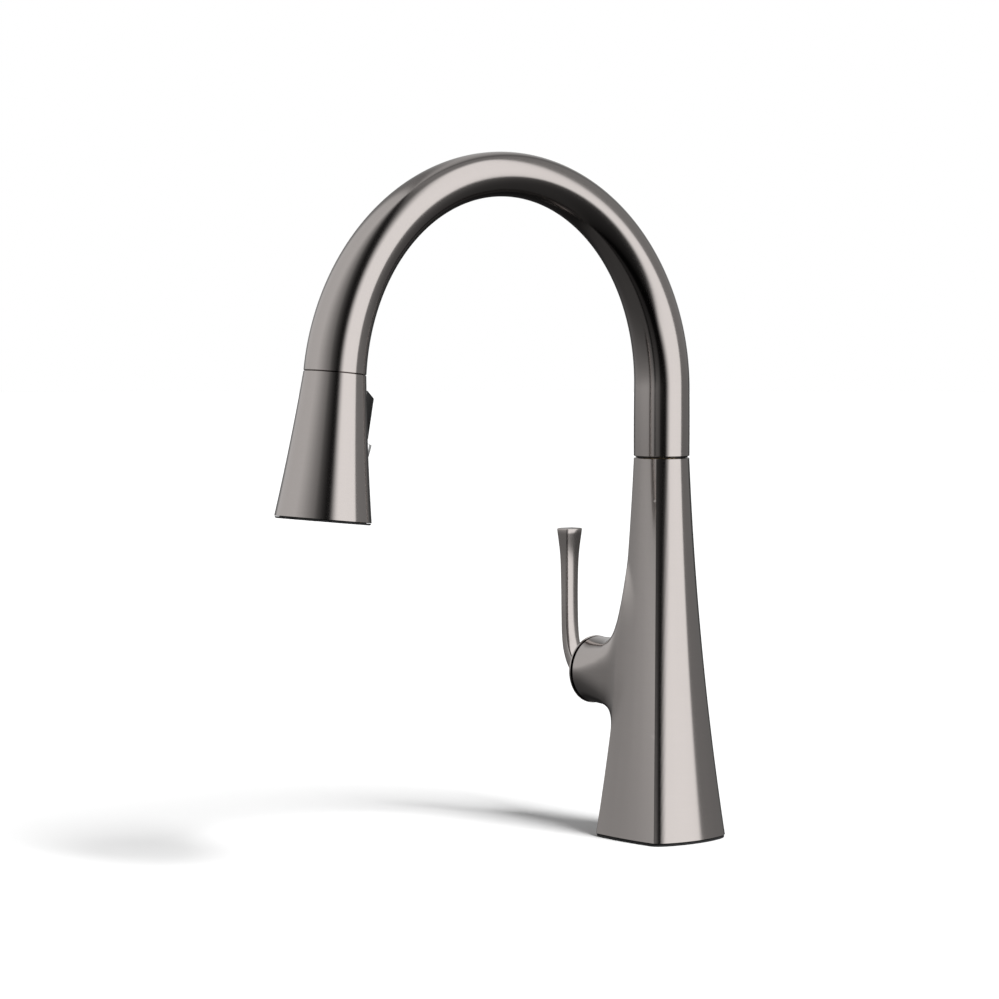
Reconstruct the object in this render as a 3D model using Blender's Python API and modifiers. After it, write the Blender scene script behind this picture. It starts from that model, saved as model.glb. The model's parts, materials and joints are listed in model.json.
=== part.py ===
"""A pull-down kitchen faucet, every piece as its own solid.

Metres, +Z up. The origin is the centre of the base on the deck, the spout reaches towards -Y,
the handle is on the -X side and the spray head's buttons face the body.
Each group of moving pieces hangs on an empty that stands on its joint's axis.
"""

from math import cos, pi, radians, sin, sqrt

import bmesh
import bpy
from mathutils import Vector

MM = 0.001
GAP = 0.3 * MM  # between pieces that touch

# Body: a bowed square foot that sweeps up into a round neck
FOOT_Z = 1.5 * MM
NECK_Z = 218.6 * MM
NECK_RADIUS = 15.55 * MM
FOOT_SIDE = 32.6 * MM  # from the middle to the left or right side
# length in mm and turn in degrees of each stretch of the foot's outline, from a side to the crease
FOOT_TURNS = ((10, 8.5), (10, 8.5), (6.6, 15.5), (1.8, 17), (1.8, 0))
CREASE_TURN = 54.2  # degrees round the neck from the side to the crease
FOOT_FRONT_BOW = 1.4 * MM  # how far the front and back stand out
FLARE_LINEAR = 0.44  # share of the flare that grows evenly; the rest grows with the square
WALL = 3.0 * MM

# Handle boss on the body's left side
BOSS_Z = 92.2 * MM
BOSS_RADIUS = 19.4 * MM
BOSS_BORE = 17.5 * MM
PIVOT_X = -33.0 * MM  # where the handle tilts
SEAM_OUT = 22.0 * MM  # the seam's distance from the pivot
DOME_INNER = 29.4 * MM
DOME_OUTER = 31.2 * MM
BONNET_OUTER = 28.4 * MM
BONNET_INNER = 27.0 * MM
HANDLE_RADIUS = 19.8 * MM

# Spout: a straight foot, then one arc, thinnest at its crown
SWIVEL_Z = 219.6 * MM
ARC_Z = 259.2 * MM
ARC_RADIUS = 118.0 * MM
LEAN = radians(6.1)
TAIL = 1.3 * MM  # the straight end after the arc
SPOUT_FOOT_RADIUS = 15.95 * MM
SPOUT_CROWN_RADIUS = 12.25 * MM
SPOUT_TIP_RADIUS = 16.6 * MM
SPOUT_WALL = 1.3 * MM
CROWN_SHARE = 0.58  # of the way along the tube

# Spray head, measured down its own axis from the dock seam
HEAD_TOP_RADIUS = 16.55 * MM
HEAD_FLARE = (7.2 * MM, 2.06 * MM)
HEAD_LENGTH = 78.2 * MM
SHELL_END = -77.2 * MM
SHELL_WALL = 1.8 * MM
BUTTON_HALF = 6.3  # mm
ROCKER_Z = -21 * MM  # where the rocker tilts
PUSH_Z = -40 * MM

HOSE_RADIUS = 4.0 * MM
SHANK_RADIUS = 16.0 * MM
SHANK_BORE = 13.2 * MM
DECK_THICKNESS = 30.0 * MM

DOCK_Y = -ARC_RADIUS * (1 + cos(LEAN)) - TAIL * sin(LEAN)
DOCK_Z = ARC_Z + ARC_RADIUS * sin(LEAN) - TAIL * cos(LEAN)

parts = None
cutters = None


# ---------------------------------------------------------------- scene and finishes


def clear_scene():
    for thing in list(bpy.data.objects):
        bpy.data.objects.remove(thing, do_unlink=True)
    for group in list(bpy.data.collections):
        bpy.data.collections.remove(group)


def new_collection(name):
    group = bpy.data.collections.new(name)
    bpy.context.scene.collection.children.link(group)
    return group


FINISHES = {
    "titanium": ((0.16, 0.145, 0.135), 0.28, 1.0),
    "brass": ((0.62, 0.45, 0.2), 0.35, 1.0),
    "steel": ((0.55, 0.55, 0.55), 0.3, 1.0),
    "chrome": ((0.8, 0.8, 0.8), 0.12, 1.0),
    "magnet": ((0.3, 0.3, 0.31), 0.4, 1.0),
    "black_plastic": ((0.02, 0.02, 0.02), 0.4, 0.0),
    "white_plastic": ((0.75, 0.75, 0.72), 0.45, 0.0),
    "black_rubber": ((0.03, 0.03, 0.03), 0.8, 0.0),
    "grey_silicone": ((0.18, 0.18, 0.18), 0.7, 0.0),
    "ceramic": ((0.85, 0.83, 0.78), 0.2, 0.0),
    "hose_braid": ((0.12, 0.12, 0.12), 0.6, 0.0),
}


def own_material(name, finish):
    """Each piece has its own material, in one of the finishes."""
    colour, roughness, metallic = FINISHES[finish]
    material = bpy.data.materials.new(name)
    material.use_nodes = True
    shader = material.node_tree.nodes["Principled BSDF"]
    shader.inputs["Base Color"].default_value = (*colour, 1)
    shader.inputs["Roughness"].default_value = roughness
    shader.inputs["Metallic"].default_value = metallic
    material.diffuse_color = (*colour, 1)
    return material


def frame(name, location, turn=(0, 0, 0), parent=None):
    """An empty on a joint's axis, which the pieces that move there hang on."""
    empty = bpy.data.objects.new(name, None)
    empty.location = location
    empty.rotation_euler = turn
    empty.parent = parent
    parts.objects.link(empty)
    return empty


def add(name, mesh, finish, parent=None, place=(0, 0, 0), turn=(0, 0, 0)):
    """A piece in the model, or a cutter when it has no finish."""
    thing = bpy.data.objects.new(name, mesh)
    thing.location = place
    thing.rotation_euler = turn
    thing.parent = parent
    if finish:
        parts.objects.link(thing)
        mesh.materials.append(own_material(name, finish))
    else:
        cutters.objects.link(thing)
        thing.hide_render = True
        thing.display_type = "WIRE"
    return thing


# ---------------------------------------------------------------- shapes


def turned(name, profile, finish, parent=None, place=(0, 0, 0), turn=(0, 0, 0), steps=16):
    """A lathe piece. The profile's (radius, height) points run down its outer side."""
    count = len(profile)
    edges = [(i, i + 1) for i in range(count - 1)]
    if profile[0][0] > 0:
        edges.append((count - 1, 0))
    mesh = bpy.data.meshes.new(name)
    mesh.from_pydata([(radius, 0, height) for radius, height in profile], edges, [])
    thing = add(name, mesh, finish, parent, place, turn)
    screw = thing.modifiers.new("turn", "SCREW")
    screw.steps = screw.render_steps = steps
    screw.use_merge_vertices = True
    screw.merge_threshold = 0.00001
    return thing


def ring(outer, inner, high, low):
    """The profile of a plain ring."""
    return [(outer, high), (outer, low), (inner, low), (inner, high)]


def rod(name, radius, high, low, finish, parent=None, place=(0, 0, 0), turn=(0, 0, 0), steps=16):
    """A plain cylinder along its own Z."""
    form = bmesh.new()
    depth = high - low
    bmesh.ops.create_cone(form, cap_ends=True, segments=steps, radius1=radius, radius2=radius, depth=depth)
    bmesh.ops.translate(form, verts=form.verts, vec=(0, 0, (high + low) / 2))
    mesh = bpy.data.meshes.new(name)
    form.to_mesh(mesh)
    form.free()
    return add(name, mesh, finish, parent, place, turn)


def block(name, low, high, finish, parent=None, place=(0, 0, 0), turn=(0, 0, 0)):
    """A box between two corners."""
    form = bmesh.new()
    bmesh.ops.create_cube(form, size=1)
    size = Vector(high) - Vector(low)
    bmesh.ops.scale(form, verts=form.verts, vec=size)
    bmesh.ops.translate(form, verts=form.verts, vec=(Vector(low) + Vector(high)) / 2)
    mesh = bpy.data.meshes.new(name)
    form.to_mesh(mesh)
    form.free()
    return add(name, mesh, finish, parent, place, turn)


def seal_ring(name, radius, thickness, height, parent=None, turn=(0, 0, 0)):
    """A rubber ring of round section."""
    bpy.ops.mesh.primitive_torus_add(
        major_segments=16, minor_segments=6, major_radius=radius, minor_radius=thickness / 2
    )
    made = bpy.context.object
    mesh = made.data
    bpy.data.objects.remove(made)
    return add(name, mesh, "black_rubber", parent, (0, 0, height), turn)


def loft(name, rings, finish, parent=None, place=(0, 0, 0), turn=(0, 0, 0)):
    """A closed skin through rings that have equally many points."""
    form = bmesh.new()
    rows = [[form.verts.new(point) for point in row] for row in rings]
    for low, high in zip(rows, rows[1:]):
        for i, corner in enumerate(low):
            j = (i + 1) % len(low)
            form.faces.new((corner, low[j], high[j], high[i]))
    form.faces.new(rows[0])
    form.faces.new(rows[-1])
    bmesh.ops.recalc_face_normals(form, faces=form.faces)
    mesh = bpy.data.meshes.new(name)
    form.to_mesh(mesh)
    form.free()
    return add(name, mesh, finish, parent, place, turn)


def outline(name, points, half_width, finish, parent=None, place=(0, 0, 0)):
    """A flat side outline of (y, z) points, made as thick as the piece is wide along X."""
    curve = bpy.data.curves.new(name, "CURVE")
    curve.dimensions = "2D"
    curve.fill_mode = "BOTH"
    curve.extrude = half_width
    spline = curve.splines.new("POLY")
    spline.points.add(len(points) - 1)
    for knot, (y, z) in zip(spline.points, points):
        knot.co = (y, z, 0, 1)
    spline.use_cyclic_u = True
    # The outline's own X, Y and Z become the piece's Y, Z and X.
    return as_mesh(name, curve, finish, parent, place, (pi / 2, 0, pi / 2))


def pipe(name, points, radii, finish, sides=12, parent=None, place=(0, 0, 0), turn=(0, 0, 0)):
    """A round tube, solid, along a chain of points with a radius at each."""
    curve = bpy.data.curves.new(name, "CURVE")
    curve.dimensions = "3D"
    curve.bevel_depth = max(radii)
    curve.bevel_resolution = (sides - 4) // 2
    curve.use_fill_caps = True
    spline = curve.splines.new("POLY")
    spline.points.add(len(points) - 1)
    for knot, point, radius in zip(spline.points, points, radii):
        knot.co = (*point, 1)
        knot.radius = radius / curve.bevel_depth
    return as_mesh(name, curve, finish, parent, place, turn)


def as_mesh(name, curve, finish, parent, place, turn):
    """A curve turned into a welded mesh, so that it can be cut."""
    guide = bpy.data.objects.new(name + "_curve", curve)
    bpy.context.scene.collection.objects.link(guide)
    guide.rotation_euler = turn
    bpy.context.view_layer.update()
    graph = bpy.context.evaluated_depsgraph_get()
    mesh = bpy.data.meshes.new_from_object(guide.evaluated_get(graph))
    mesh.transform(guide.matrix_world)
    form = bmesh.new()
    form.from_mesh(mesh)
    bmesh.ops.remove_doubles(form, verts=form.verts, dist=0.00001)
    bmesh.ops.recalc_face_normals(form, faces=form.faces)
    form.to_mesh(mesh)
    form.free()
    mesh.materials.clear()
    bpy.data.objects.remove(guide)
    return add(name, mesh, finish, parent, place)


def combine(thing, other, operation):
    step = thing.modifiers.new(other.name, "BOOLEAN")
    step.operation = operation
    step.object = other


def cut(thing, *others):
    for other in others:
        combine(thing, other, "DIFFERENCE")


def join(thing, *others):
    for other in others:
        combine(thing, other, "UNION")


# ---------------------------------------------------------------- the body's form


def flare_at(height):
    """0 at the round neck, 1 at the square foot."""
    down = 1 - height / SWIVEL_Z
    return FLARE_LINEAR * down + (1 - FLARE_LINEAR) * down * down


def foot_quarter(front_steps=3):
    """The foot's outline from the middle of a side to the middle of the front, with the neck's angles."""
    x, y, angle, gone = FOOT_SIDE, 0.0, 0.0, 0.0
    total = sum(length for length, turn in FOOT_TURNS)
    points = [(x, y, 0.0)]
    for length, turn in FOOT_TURNS:
        angle += radians(turn) / 2
        x -= length * MM * sin(angle)
        y += length * MM * cos(angle)
        angle += radians(turn) / 2
        gone += length
        points.append((x, y, radians(CREASE_TURN) * gone / total))
    for step in range(1, front_steps + 1):
        share = step / front_steps
        across = x * (1 - share)
        out = y + FOOT_FRONT_BOW * (1 - (1 - share) ** 2)
        points.append((across, out, radians(CREASE_TURN) + radians(90 - CREASE_TURN) * share))
    return points


def body_ring(height, inset=0.0):
    """The body's outline at a height: part neck circle, part foot outline."""
    share = flare_at(height)
    quarter = []
    for x, y, angle in foot_quarter():
        x = x * share + NECK_RADIUS * cos(angle) * (1 - share)
        y = y * share + NECK_RADIUS * sin(angle) * (1 - share)
        keep = 1 - inset / sqrt(x * x + y * y)
        quarter.append((x * keep, y * keep))
    ring = quarter[:-1]
    ring += [(-x, y) for x, y in reversed(quarter[1:])]
    ring += [(-x, -y) for x, y in quarter[:-1]]
    ring += [(x, -y) for x, y in reversed(quarter[1:])]
    return [(x, y, height) for x, y in ring]


def levels(low, high, count):
    return [low + (high - low) * i / (count - 1) for i in range(count)]


def boss_ring(x, top, bottom, half_depth, count=28):
    """A ring across the boss, taller than it is deep where it flows into the body."""
    found = []
    for i in range(count):
        angle = 2 * pi * i / count
        tall = top if sin(angle) > 0 else bottom
        found.append((x, half_depth * cos(angle), BOSS_Z + tall * sin(angle)))
    return found


def make_body():
    shell = loft("body_shell", [body_ring(z) for z in levels(FOOT_Z, NECK_Z, 13)], "titanium")
    spread = [(-54.5, 19.4, 19.4, 19.4), (-43, 19.4, 19.4, 19.4), (-36, 19.9, 19.9, 19.4)]
    spread += [(-30, 22.5, 21.5, 19.5), (-25, 28, 26, 19.7), (-21, 36, 33, 19.7), (-18, 45, 41, 19.4)]
    spread += [(-9, 45, 41, 17.5)]
    boss = loft("boss_form", [boss_ring(*(MM * size for size in row)) for row in spread], None)
    hollow = loft("body_hollow", [body_ring(z, WALL) for z in levels(FOOT_Z - 3 * MM, 200 * MM, 8)], None)
    neck_bore = rod("neck_bore", 11.4 * MM, 230 * MM, 190 * MM, None, steps=20)
    along_boss = (0, -pi / 2, 0)
    boss_bore = rod("boss_bore", BOSS_BORE, 62 * MM, 4 * MM, None, None, (0, 0, BOSS_Z), along_boss, 28)
    join(shell, boss)
    cut(shell, hollow, neck_bore, boss_bore)


def make_base():
    plate = loft("base_plate", [body_ring(z, WALL + 0.4 * MM) for z in (2.2 * MM, 7.2 * MM)], "steel")
    plate_bore = rod("plate_bore", SHANK_RADIUS + 2 * GAP, 12 * MM, -2 * MM, None)
    cut(plate, plate_bore)
    gasket = loft("base_gasket", [body_ring(z, 0.9 * MM) for z in (0, 1.2 * MM)], "black_rubber")
    gasket_bore = rod("gasket_bore", SHANK_RADIUS + 2 * GAP, 4 * MM, -2 * MM, None)
    cut(gasket, gasket_bore)
    flange_radius = 20 * MM
    shank = [(flange_radius, 11 * MM), (flange_radius, 7.5 * MM), (SHANK_RADIUS, 7.5 * MM)]
    shank += [(SHANK_RADIUS, -61 * MM), (SHANK_RADIUS - MM, -62 * MM)]
    shank += [(SHANK_BORE, -62 * MM), (SHANK_BORE, 11 * MM)]
    turned("mounting_shank", shank, "brass")


def make_deck_clamp():
    """What grips the deck from below: washers, nut and its two jack screws."""
    bore = SHANK_RADIUS + 2 * GAP
    top = -DECK_THICKNESS
    turned("deck_washer", ring(26 * MM, bore, top, top - 3 * MM), "black_rubber")
    turned("clamp_washer", ring(26 * MM, bore, top - 3.3 * MM, top - 5.3 * MM), "steel")
    nut_high = top - 9 * MM
    nut_low = nut_high - 8 * MM
    nut = turned("mounting_nut", ring(26.5 * MM, bore, nut_high, nut_low), "brass", steps=24)
    for name, y in (("jack_screw_front", -21 * MM), ("jack_screw_back", 21 * MM)):
        hole = rod(name + "_hole", 2.5 * MM, nut_high + MM, nut_low - MM, None, None, (0, y, 0))
        cut(nut, hole)
        screw = [(0, top - 5.7 * MM), (2.2 * MM, top - 5.7 * MM), (2.2 * MM, nut_low - 9 * MM)]
        screw += [(4 * MM, nut_low - 9 * MM), (4 * MM, nut_low - 12 * MM), (0, nut_low - 12 * MM)]
        turned(name, screw, "steel", None, (0, y, 0), steps=14)


# ---------------------------------------------------------------- valve and handle


def make_valve_block():
    """The brass block: a cup round the cartridge and a foot that the water pipes screw into."""
    cup = [(0, -25), (15.3, -25), (15.3, 7), (17.1, 7), (17.1, -29), (0, -29)]
    cup = [(radius * MM, height * MM) for radius, height in cup]
    block_piece = turned("valve_block", cup, "brass", None, (PIVOT_X, 0, BOSS_Z), (0, -pi / 2, 0), 24)
    foot = block("valve_foot", (-16 * MM, -12 * MM, 70 * MM), (-4.5 * MM, 12 * MM, 76.4 * MM), None)
    join(block_piece, foot)
    places = {"inlet_nipple_hot": (-11.5, -8), "inlet_nipple_cold": (-11.5, 8), "outlet_nipple": (-8.5, 0)}
    for name, (x, y) in places.items():
        drop = [(3.7, 69.7), (3.7, 64), (2.9, 64), (3.4, 58), (2.7, 52), (1.7, 52), (1.7, 69.7)]
        profile = [(radius * MM, height * MM) for radius, height in drop]
        turned(name, profile, "brass", None, (x * MM, y * MM, 0), steps=14)


def make_cartridge(axis):
    """The cartridge: its fixed parts, then the turning rotor and the sliding disc."""
    housing = [(15, 4.6), (15, -24.7), (9.5, -24.7), (9.5, -22.6), (13.9, -22.6), (13.9, 4.6)]
    housing = [(radius * MM, height * MM) for radius, height in housing]
    turned("cartridge_housing", housing, "white_plastic", axis)
    cap = [(radius * MM, height * MM) for radius, height in ring(15, 8.6, 6.6, 4.9)]
    turned("cartridge_cap", cap, "white_plastic", axis)
    disc = rod("ceramic_disc_fixed", 13.5 * MM, -18.8 * MM, -22.3 * MM, "ceramic", axis, steps=28)
    for number, angle in enumerate((0, 120, 240)):
        offset = (5.4 * MM * cos(radians(angle)), 5.4 * MM * sin(radians(angle)), 0)
        port = rod(f"fixed_port_{number}", 2.2 * MM, -17 * MM, -24 * MM, None, axis, offset, steps=12)
        cut(disc, port)
    moving = rod("ceramic_disc_moving", 9.2 * MM, -15 * MM, -18.5 * MM, "ceramic", axis, steps=24)
    cavity = rod("moving_cavity", 4.6 * MM, -16.6 * MM, -20 * MM, None, axis, steps=16)
    cut(moving, cavity)
    carrier = [(9.2, -10.4), (9.2, -14.7), (3.1, -14.7), (3.1, -10.4)]
    carrier = [(radius * MM, height * MM) for radius, height in carrier]
    turned("disc_carrier", carrier, "white_plastic", axis, steps=24)
    rotor = rod("cartridge_rotor", 13.5 * MM, 4.2 * MM, -10 * MM, "white_plastic", axis, steps=28)
    slot = block("stem_slot", (-5.6 * MM, -3.9 * MM, -11 * MM), (8.4 * MM, 3.9 * MM, 6 * MM), None, axis)
    pin_hole = rod("rotor_pin_hole", 1.5 * MM, 15 * MM, -15 * MM, None, axis, (0, 0, 0), (pi / 2, 0, 0), 12)
    cut(rotor, slot, pin_hole)
    rod("stem_pin", 1.2 * MM, 12.9 * MM, -12.9 * MM, "steel", axis, (0, 0, 0), (pi / 2, 0, 0), 12)
    seal_ring("cartridge_seal", 7.6 * MM, 1.0 * MM, -23.85 * MM, axis)
    nut = [(radius * MM, height * MM) for radius, height in ring(16.9, 9.4, 12.4, 7.3)]
    turned("cartridge_nut", nut, "brass", axis)


def arc_profile(radius, start, end, steps):
    """Points of a circle about the pivot, from one angle off the axis to another."""
    turns = levels(start, end, steps)
    return [(radius * sin(angle), radius * cos(angle)) for angle in turns]


def make_bonnet(axis):
    """A ball-shaped cover under the handle, open below the stem where the stem swings."""
    rim, wall = 17.2 * MM, 1.4 * MM
    outer_start = 0.05
    outer = arc_profile(BONNET_OUTER, outer_start, 0.65, 6)
    inner = arc_profile(BONNET_INNER, 0.62, outer_start, 5)
    profile = outer + [(rim, outer[-1][1] - MM), (rim, 13 * MM), (rim - wall, 13 * MM)] + inner
    bonnet = turned("bonnet", profile, "black_plastic", axis, steps=28)
    window = rod("stem_window", 10.5 * MM, 40 * MM, 20 * MM, None, axis, (-5.5 * MM, 0, 0), steps=20)
    cut(bonnet, window)


def lever_ring(up, out, thick, wide, slope):
    """One section of the lever, square with cut corners, across its path."""
    nick = 0.16
    found = []
    square = [(-1, -1), (1, -1), (1, 1), (-1, 1)]
    for (a, b), (c, d) in zip(square, square[1:] + square[:1]):
        for share in (nick, 1 - nick):
            across = (a + (c - a) * share) * thick / 2
            side = (b + (d - b) * share) * wide / 2
            # Across runs outboard where the lever stands upright and turns down with its slope.
            found.append((up - across * sin(slope), side, SEAM_OUT + out + across * cos(slope)))
    return found


def make_handle(axis):
    """Domed cap and lever in one casting, its stem and the screw that holds it on."""
    start = 0.0
    outer = arc_profile(DOME_OUTER, start, 0.687, 7)
    inner = arc_profile(DOME_INNER, 0.675, start, 7)
    outer[0] = (0, DOME_OUTER)
    inner[-1] = (0, DOME_INNER)
    band = [(HANDLE_RADIUS, inner[0][1])]
    cap = turned("lever_handle", outer + band + inner, "titanium", axis, steps=30)
    path = [(-2.7, 7.9, 10.5, 12.4, 86), (-2, 11, 9.5, 12, 72), (0.6, 15.3, 7.8, 11.2, 52)]
    path += [(5.6, 19.3, 6.7, 10.7, 30), (12.3, 22.1, 6, 10.3, 14), (20.8, 23.4, 5.7, 10, 5)]
    path += [(33, 23.9, 5.6, 9.9, 1), (50, 24.1, 6, 9.8, 0), (66, 24.1, 7, 10.4, 0)]
    path += [(81, 24.1, 10.2, 12.4, 0), (81.8, 24.1, 7.6, 9.8, 0)]
    rings = [lever_ring(up * MM, out * MM, t * MM, w * MM, radians(s)) for up, out, t, w, s in path]
    lever = loft("lever_form", rings, None, axis)
    socket = rod("stem_socket", 3.8 * MM, 38.2 * MM, 26 * MM, None, axis, steps=16)
    place, upward = (0, 0, 33.5 * MM), (0, pi / 2, 0)
    screw_hole = rod("set_screw_hole", 2.4 * MM, -3.5 * MM, -12 * MM, None, axis, place, upward, 12)
    join(cap, lever)
    cut(cap, socket, screw_hole)
    screw = [(0, -4), (2.1, -4), (2.1, -7.4), (1.1, -7.4), (1.1, -6), (0, -6)]
    screw = [(radius * MM, height * MM) for radius, height in screw]
    turned("handle_set_screw", screw, "steel", axis, (0, 0, 33.5 * MM), (0, pi / 2, 0), 12)
    stem = [(0, 37.8), (3.4, 37.8), (3.4, 6), (3.6, 4), (3.6, -4), (2.2, -8), (2.2, -10.6)]
    stem += [(2.7, -12), (2.7, -13.4), (1.8, -14.4), (0, -14.4)]
    stem = [(radius * MM, height * MM) for radius, height in stem]
    stem_piece = turned("cartridge_stem", stem, "brass", axis, steps=16)
    pin_hole = rod("stem_pin_hole", 1.35 * MM, 8 * MM, -8 * MM, None, axis, (0, 0, 0), (pi / 2, 0, 0), 12)
    cut(stem_piece, pin_hole)


# ---------------------------------------------------------------- swivel and spout


def make_swivel():
    post = [(11.1, 251), (11.1, 249), (10.2, 249), (10.2, 247.4), (11.1, 247.4), (11.1, 241.6)]
    post += [(9.4, 241.6), (9.4, 239.2), (11.1, 239.2), (11.1, 231.4), (9.4, 231.4), (9.4, 229)]
    post += [(11.1, 229), (11.1, 200), (13, 199.6), (13, 194), (7.4, 194), (7.4, 251)]
    turned("swivel_post", [(radius * MM, height * MM) for radius, height in post], "brass")
    seal_ring("swivel_seal_upper", 10.4 * MM, 1.2 * MM, 240.4 * MM)
    seal_ring("swivel_seal_lower", 10.4 * MM, 1.2 * MM, 230.2 * MM)
    turned("swivel_washer", ring(14.9 * MM, 11.5 * MM, 219.35 * MM, 218.85 * MM), "black_plastic")


def hermite(share, end, slope):
    """A smooth rise from 0, level, to end with the given slope."""
    rise = 3 * share**2 - 2 * share**3
    return end * rise + slope * (share**3 - share**2)


def spout_length():
    return (ARC_Z - SWIVEL_Z) + ARC_RADIUS * (pi - LEAN) + TAIL


def spout_radius(along):
    """The tube's radius, along from 0 at the swivel to 1 at the dock."""
    if along < CROWN_SHARE:
        swell = hermite((CROWN_SHARE - along) / CROWN_SHARE, 1.0, -0.45)
        return SPOUT_CROWN_RADIUS + (SPOUT_FOOT_RADIUS - SPOUT_CROWN_RADIUS) * swell
    swell = hermite((along - CROWN_SHARE) / (1 - CROWN_SHARE), 1.0, 0.86)
    return SPOUT_CROWN_RADIUS + (SPOUT_TIP_RADIUS - SPOUT_CROWN_RADIUS) * swell


def spout_place(distance):
    """The centreline at a distance from the swivel, and the way out from the arc's centre."""
    straight = ARC_Z - SWIVEL_Z
    if distance <= straight:
        return Vector((0, 0, SWIVEL_Z + distance)), Vector((0, 1, 0))
    angle = min((distance - straight) / ARC_RADIUS, pi - LEAN)
    outward = Vector((0, cos(angle), sin(angle)))
    tail = max(0, distance - straight - ARC_RADIUS * (pi - LEAN))
    onward = Vector((0, -sin(LEAN), -cos(LEAN)))
    return Vector((0, -ARC_RADIUS, ARC_Z)) + ARC_RADIUS * outward + tail * onward, outward


def make_spout(swivel, head):
    """The curved tube, its inner sleeve, and the magnetic dock at its tip."""
    total = spout_length()
    stops = levels(0, total - 3 * MM, 26)
    points = [spout_place(stop)[0] for stop in stops]
    radii = [spout_radius(stop / total) for stop in stops]
    down = Vector((0, -sin(LEAN), -cos(LEAN)))
    dock = Vector((0, DOCK_Y, DOCK_Z))
    points += [dock - down * 1.5 * MM, dock - down * 0.4 * MM]
    radii += [SPOUT_TIP_RADIUS] * 2
    tube = pipe("spout_tube", points, radii, "titanium", 24)
    bore_points = [points[0] - Vector((0, 0, 5 * MM))] + points + [dock + down * 5 * MM]
    bore_radii = [radius - SPOUT_WALL for radius in [radii[0]] + radii + [radii[-1]]]
    bore = pipe("spout_bore", bore_points, bore_radii, None, 16)
    cut(tube, bore)
    for piece in (tube, bore):
        piece.data.transform(swivel.matrix_world.inverted())
        piece.parent = swivel
    sleeve = [(14.2, 27.5), (14.2, 0.2), (11.5, 0.2), (11.5, 27.5)]
    turned("spout_sleeve", [(radius * MM, height * MM) for radius, height in sleeve], "brass", swivel)
    turned("swivel_clip", ring(13.6 * MM, 10.5 * MM, 29.2 * MM, 28.1 * MM), "steel", swivel)
    turned("dock_magnet", ring(14.5 * MM, 11.7 * MM, 3.7 * MM, 0.7 * MM), "magnet", head)
    guide = [(13.6, 14), (13.9, 4), (11.7, 4), (11.7, 12.5), (12.8, 14)]
    turned("dock_guide", [(radius * MM, height * MM) for radius, height in guide], "black_plastic", head)


# ---------------------------------------------------------------- hose


def make_hose(swivel):
    """The spray hose, in two lengths that meet on the swivel's axis."""
    knots = [(7, -58), (7, -20), (7, 10), (8.2, 34), (10.3, 56), (11.2, 76), (11.2, 104)]
    knots += [(9.8, 126), (6.3, 148), (2.6, 168), (0.6, 186), (0, 203), (0, 221.8)]
    smooth = smooth_chain([Vector((x * MM, 0, z * MM)) for x, z in knots], 2)
    pipe("hose_lower", smooth, [HOSE_RADIUS] * len(smooth), "hose_braid", 10)
    total = spout_length()
    tip, fade = 40 * MM, 100 * MM
    stops = levels(2.6 * MM, total - 34 * MM, 28)
    points = []
    for stop in stops:
        place, outward = spout_place(stop)
        points.append(place + outward * hose_offset(total - stop, tip, fade))
    upper = pipe("hose_upper", points, [HOSE_RADIUS] * len(points), "hose_braid", 10)
    upper.data.transform(swivel.matrix_world.inverted())
    upper.parent = swivel
    tail = [(0, -58.4), (3, -58.4), (3, -61), (6, -61), (6, -67), (4.4, -68), (4.4, -76), (0, -76)]
    tail = [(radius * MM, height * MM) for radius, height in tail]
    turned("hose_tail_fitting", tail, "brass", None, (7 * MM, 0, 0), steps=16)


def hose_offset(above, tip, fade):
    """How far the hose lies outside the centreline: straight up from the dock, then back to the middle."""
    if above <= tip:
        return above**2 / (2 * ARC_RADIUS)
    if above >= fade:
        return 0.0
    share = (above - tip) / (fade - tip)
    height, slope = tip**2 / (2 * ARC_RADIUS), tip / ARC_RADIUS
    fall = 2 * share**3 - 3 * share**2 + 1
    lead = share**3 - 2 * share**2 + share
    return height * fall + slope * (fade - tip) * lead


def smooth_chain(knots, between):
    """More points on a Catmull-Rom curve through the knots."""
    ends = [2 * knots[0] - knots[1]] + knots + [2 * knots[-1] - knots[-2]]
    found = []
    for a, b, c, d in zip(ends, ends[1:], ends[2:], ends[3:]):
        for i in range(between):
            t = i / between
            slow = 2 * a - 5 * b + 4 * c - d
            found.append((2 * b + (c - a) * t + slow * t * t + (3 * b - a - 3 * c + d) * t**3) / 2)
    return found + [knots[-1]]


def make_hose_end(head):
    """The ball that the head swivels on, its nut and the crimped sleeve."""
    centre, ball = -1 * MM, 5.6 * MM
    stem_radius = 3.2 * MM
    profile = [(0, 31 * MM), (stem_radius, 31 * MM)]
    profile += [(radius, height + centre) for radius, height in arc_profile(ball, 0.61, pi, 7)]
    profile[-1] = (0, centre - ball)
    turned("ball_fitting", profile, "brass", head)
    turned("hose_nut", ring(6.9 * MM, 4 * MM, 21.8 * MM, 15 * MM), "brass", head, steps=6)
    turned("hose_ferrule", ring(5.2 * MM, 3.6 * MM, 32.5 * MM, 22.2 * MM), "steel", head)


# ---------------------------------------------------------------- spray head


def head_radius(height):
    """The trumpet form, height from 0 at the dock seam down to -HEAD_LENGTH."""
    share = -height / HEAD_LENGTH
    return HEAD_TOP_RADIUS + HEAD_FLARE[0] * share + HEAD_FLARE[1] * share * share


def trumpet(high, low, outer, inner, count=9):
    """A ring's profile that follows the head's form, outer and inner offset from it."""
    down = levels(high, low, count)
    outside = [(head_radius(z) + outer, z) for z in down]
    return outside + [(head_radius(z) + inner, z) for z in reversed(down)]


def opening(name, half_width, low, high, head):
    """A block that opens the shell's back, from low to high in mm along the head."""
    low_corner = (-half_width * MM, 5 * MM, low * MM)
    return block(name, low_corner, (half_width * MM, 40 * MM, high * MM), None, head)


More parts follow.
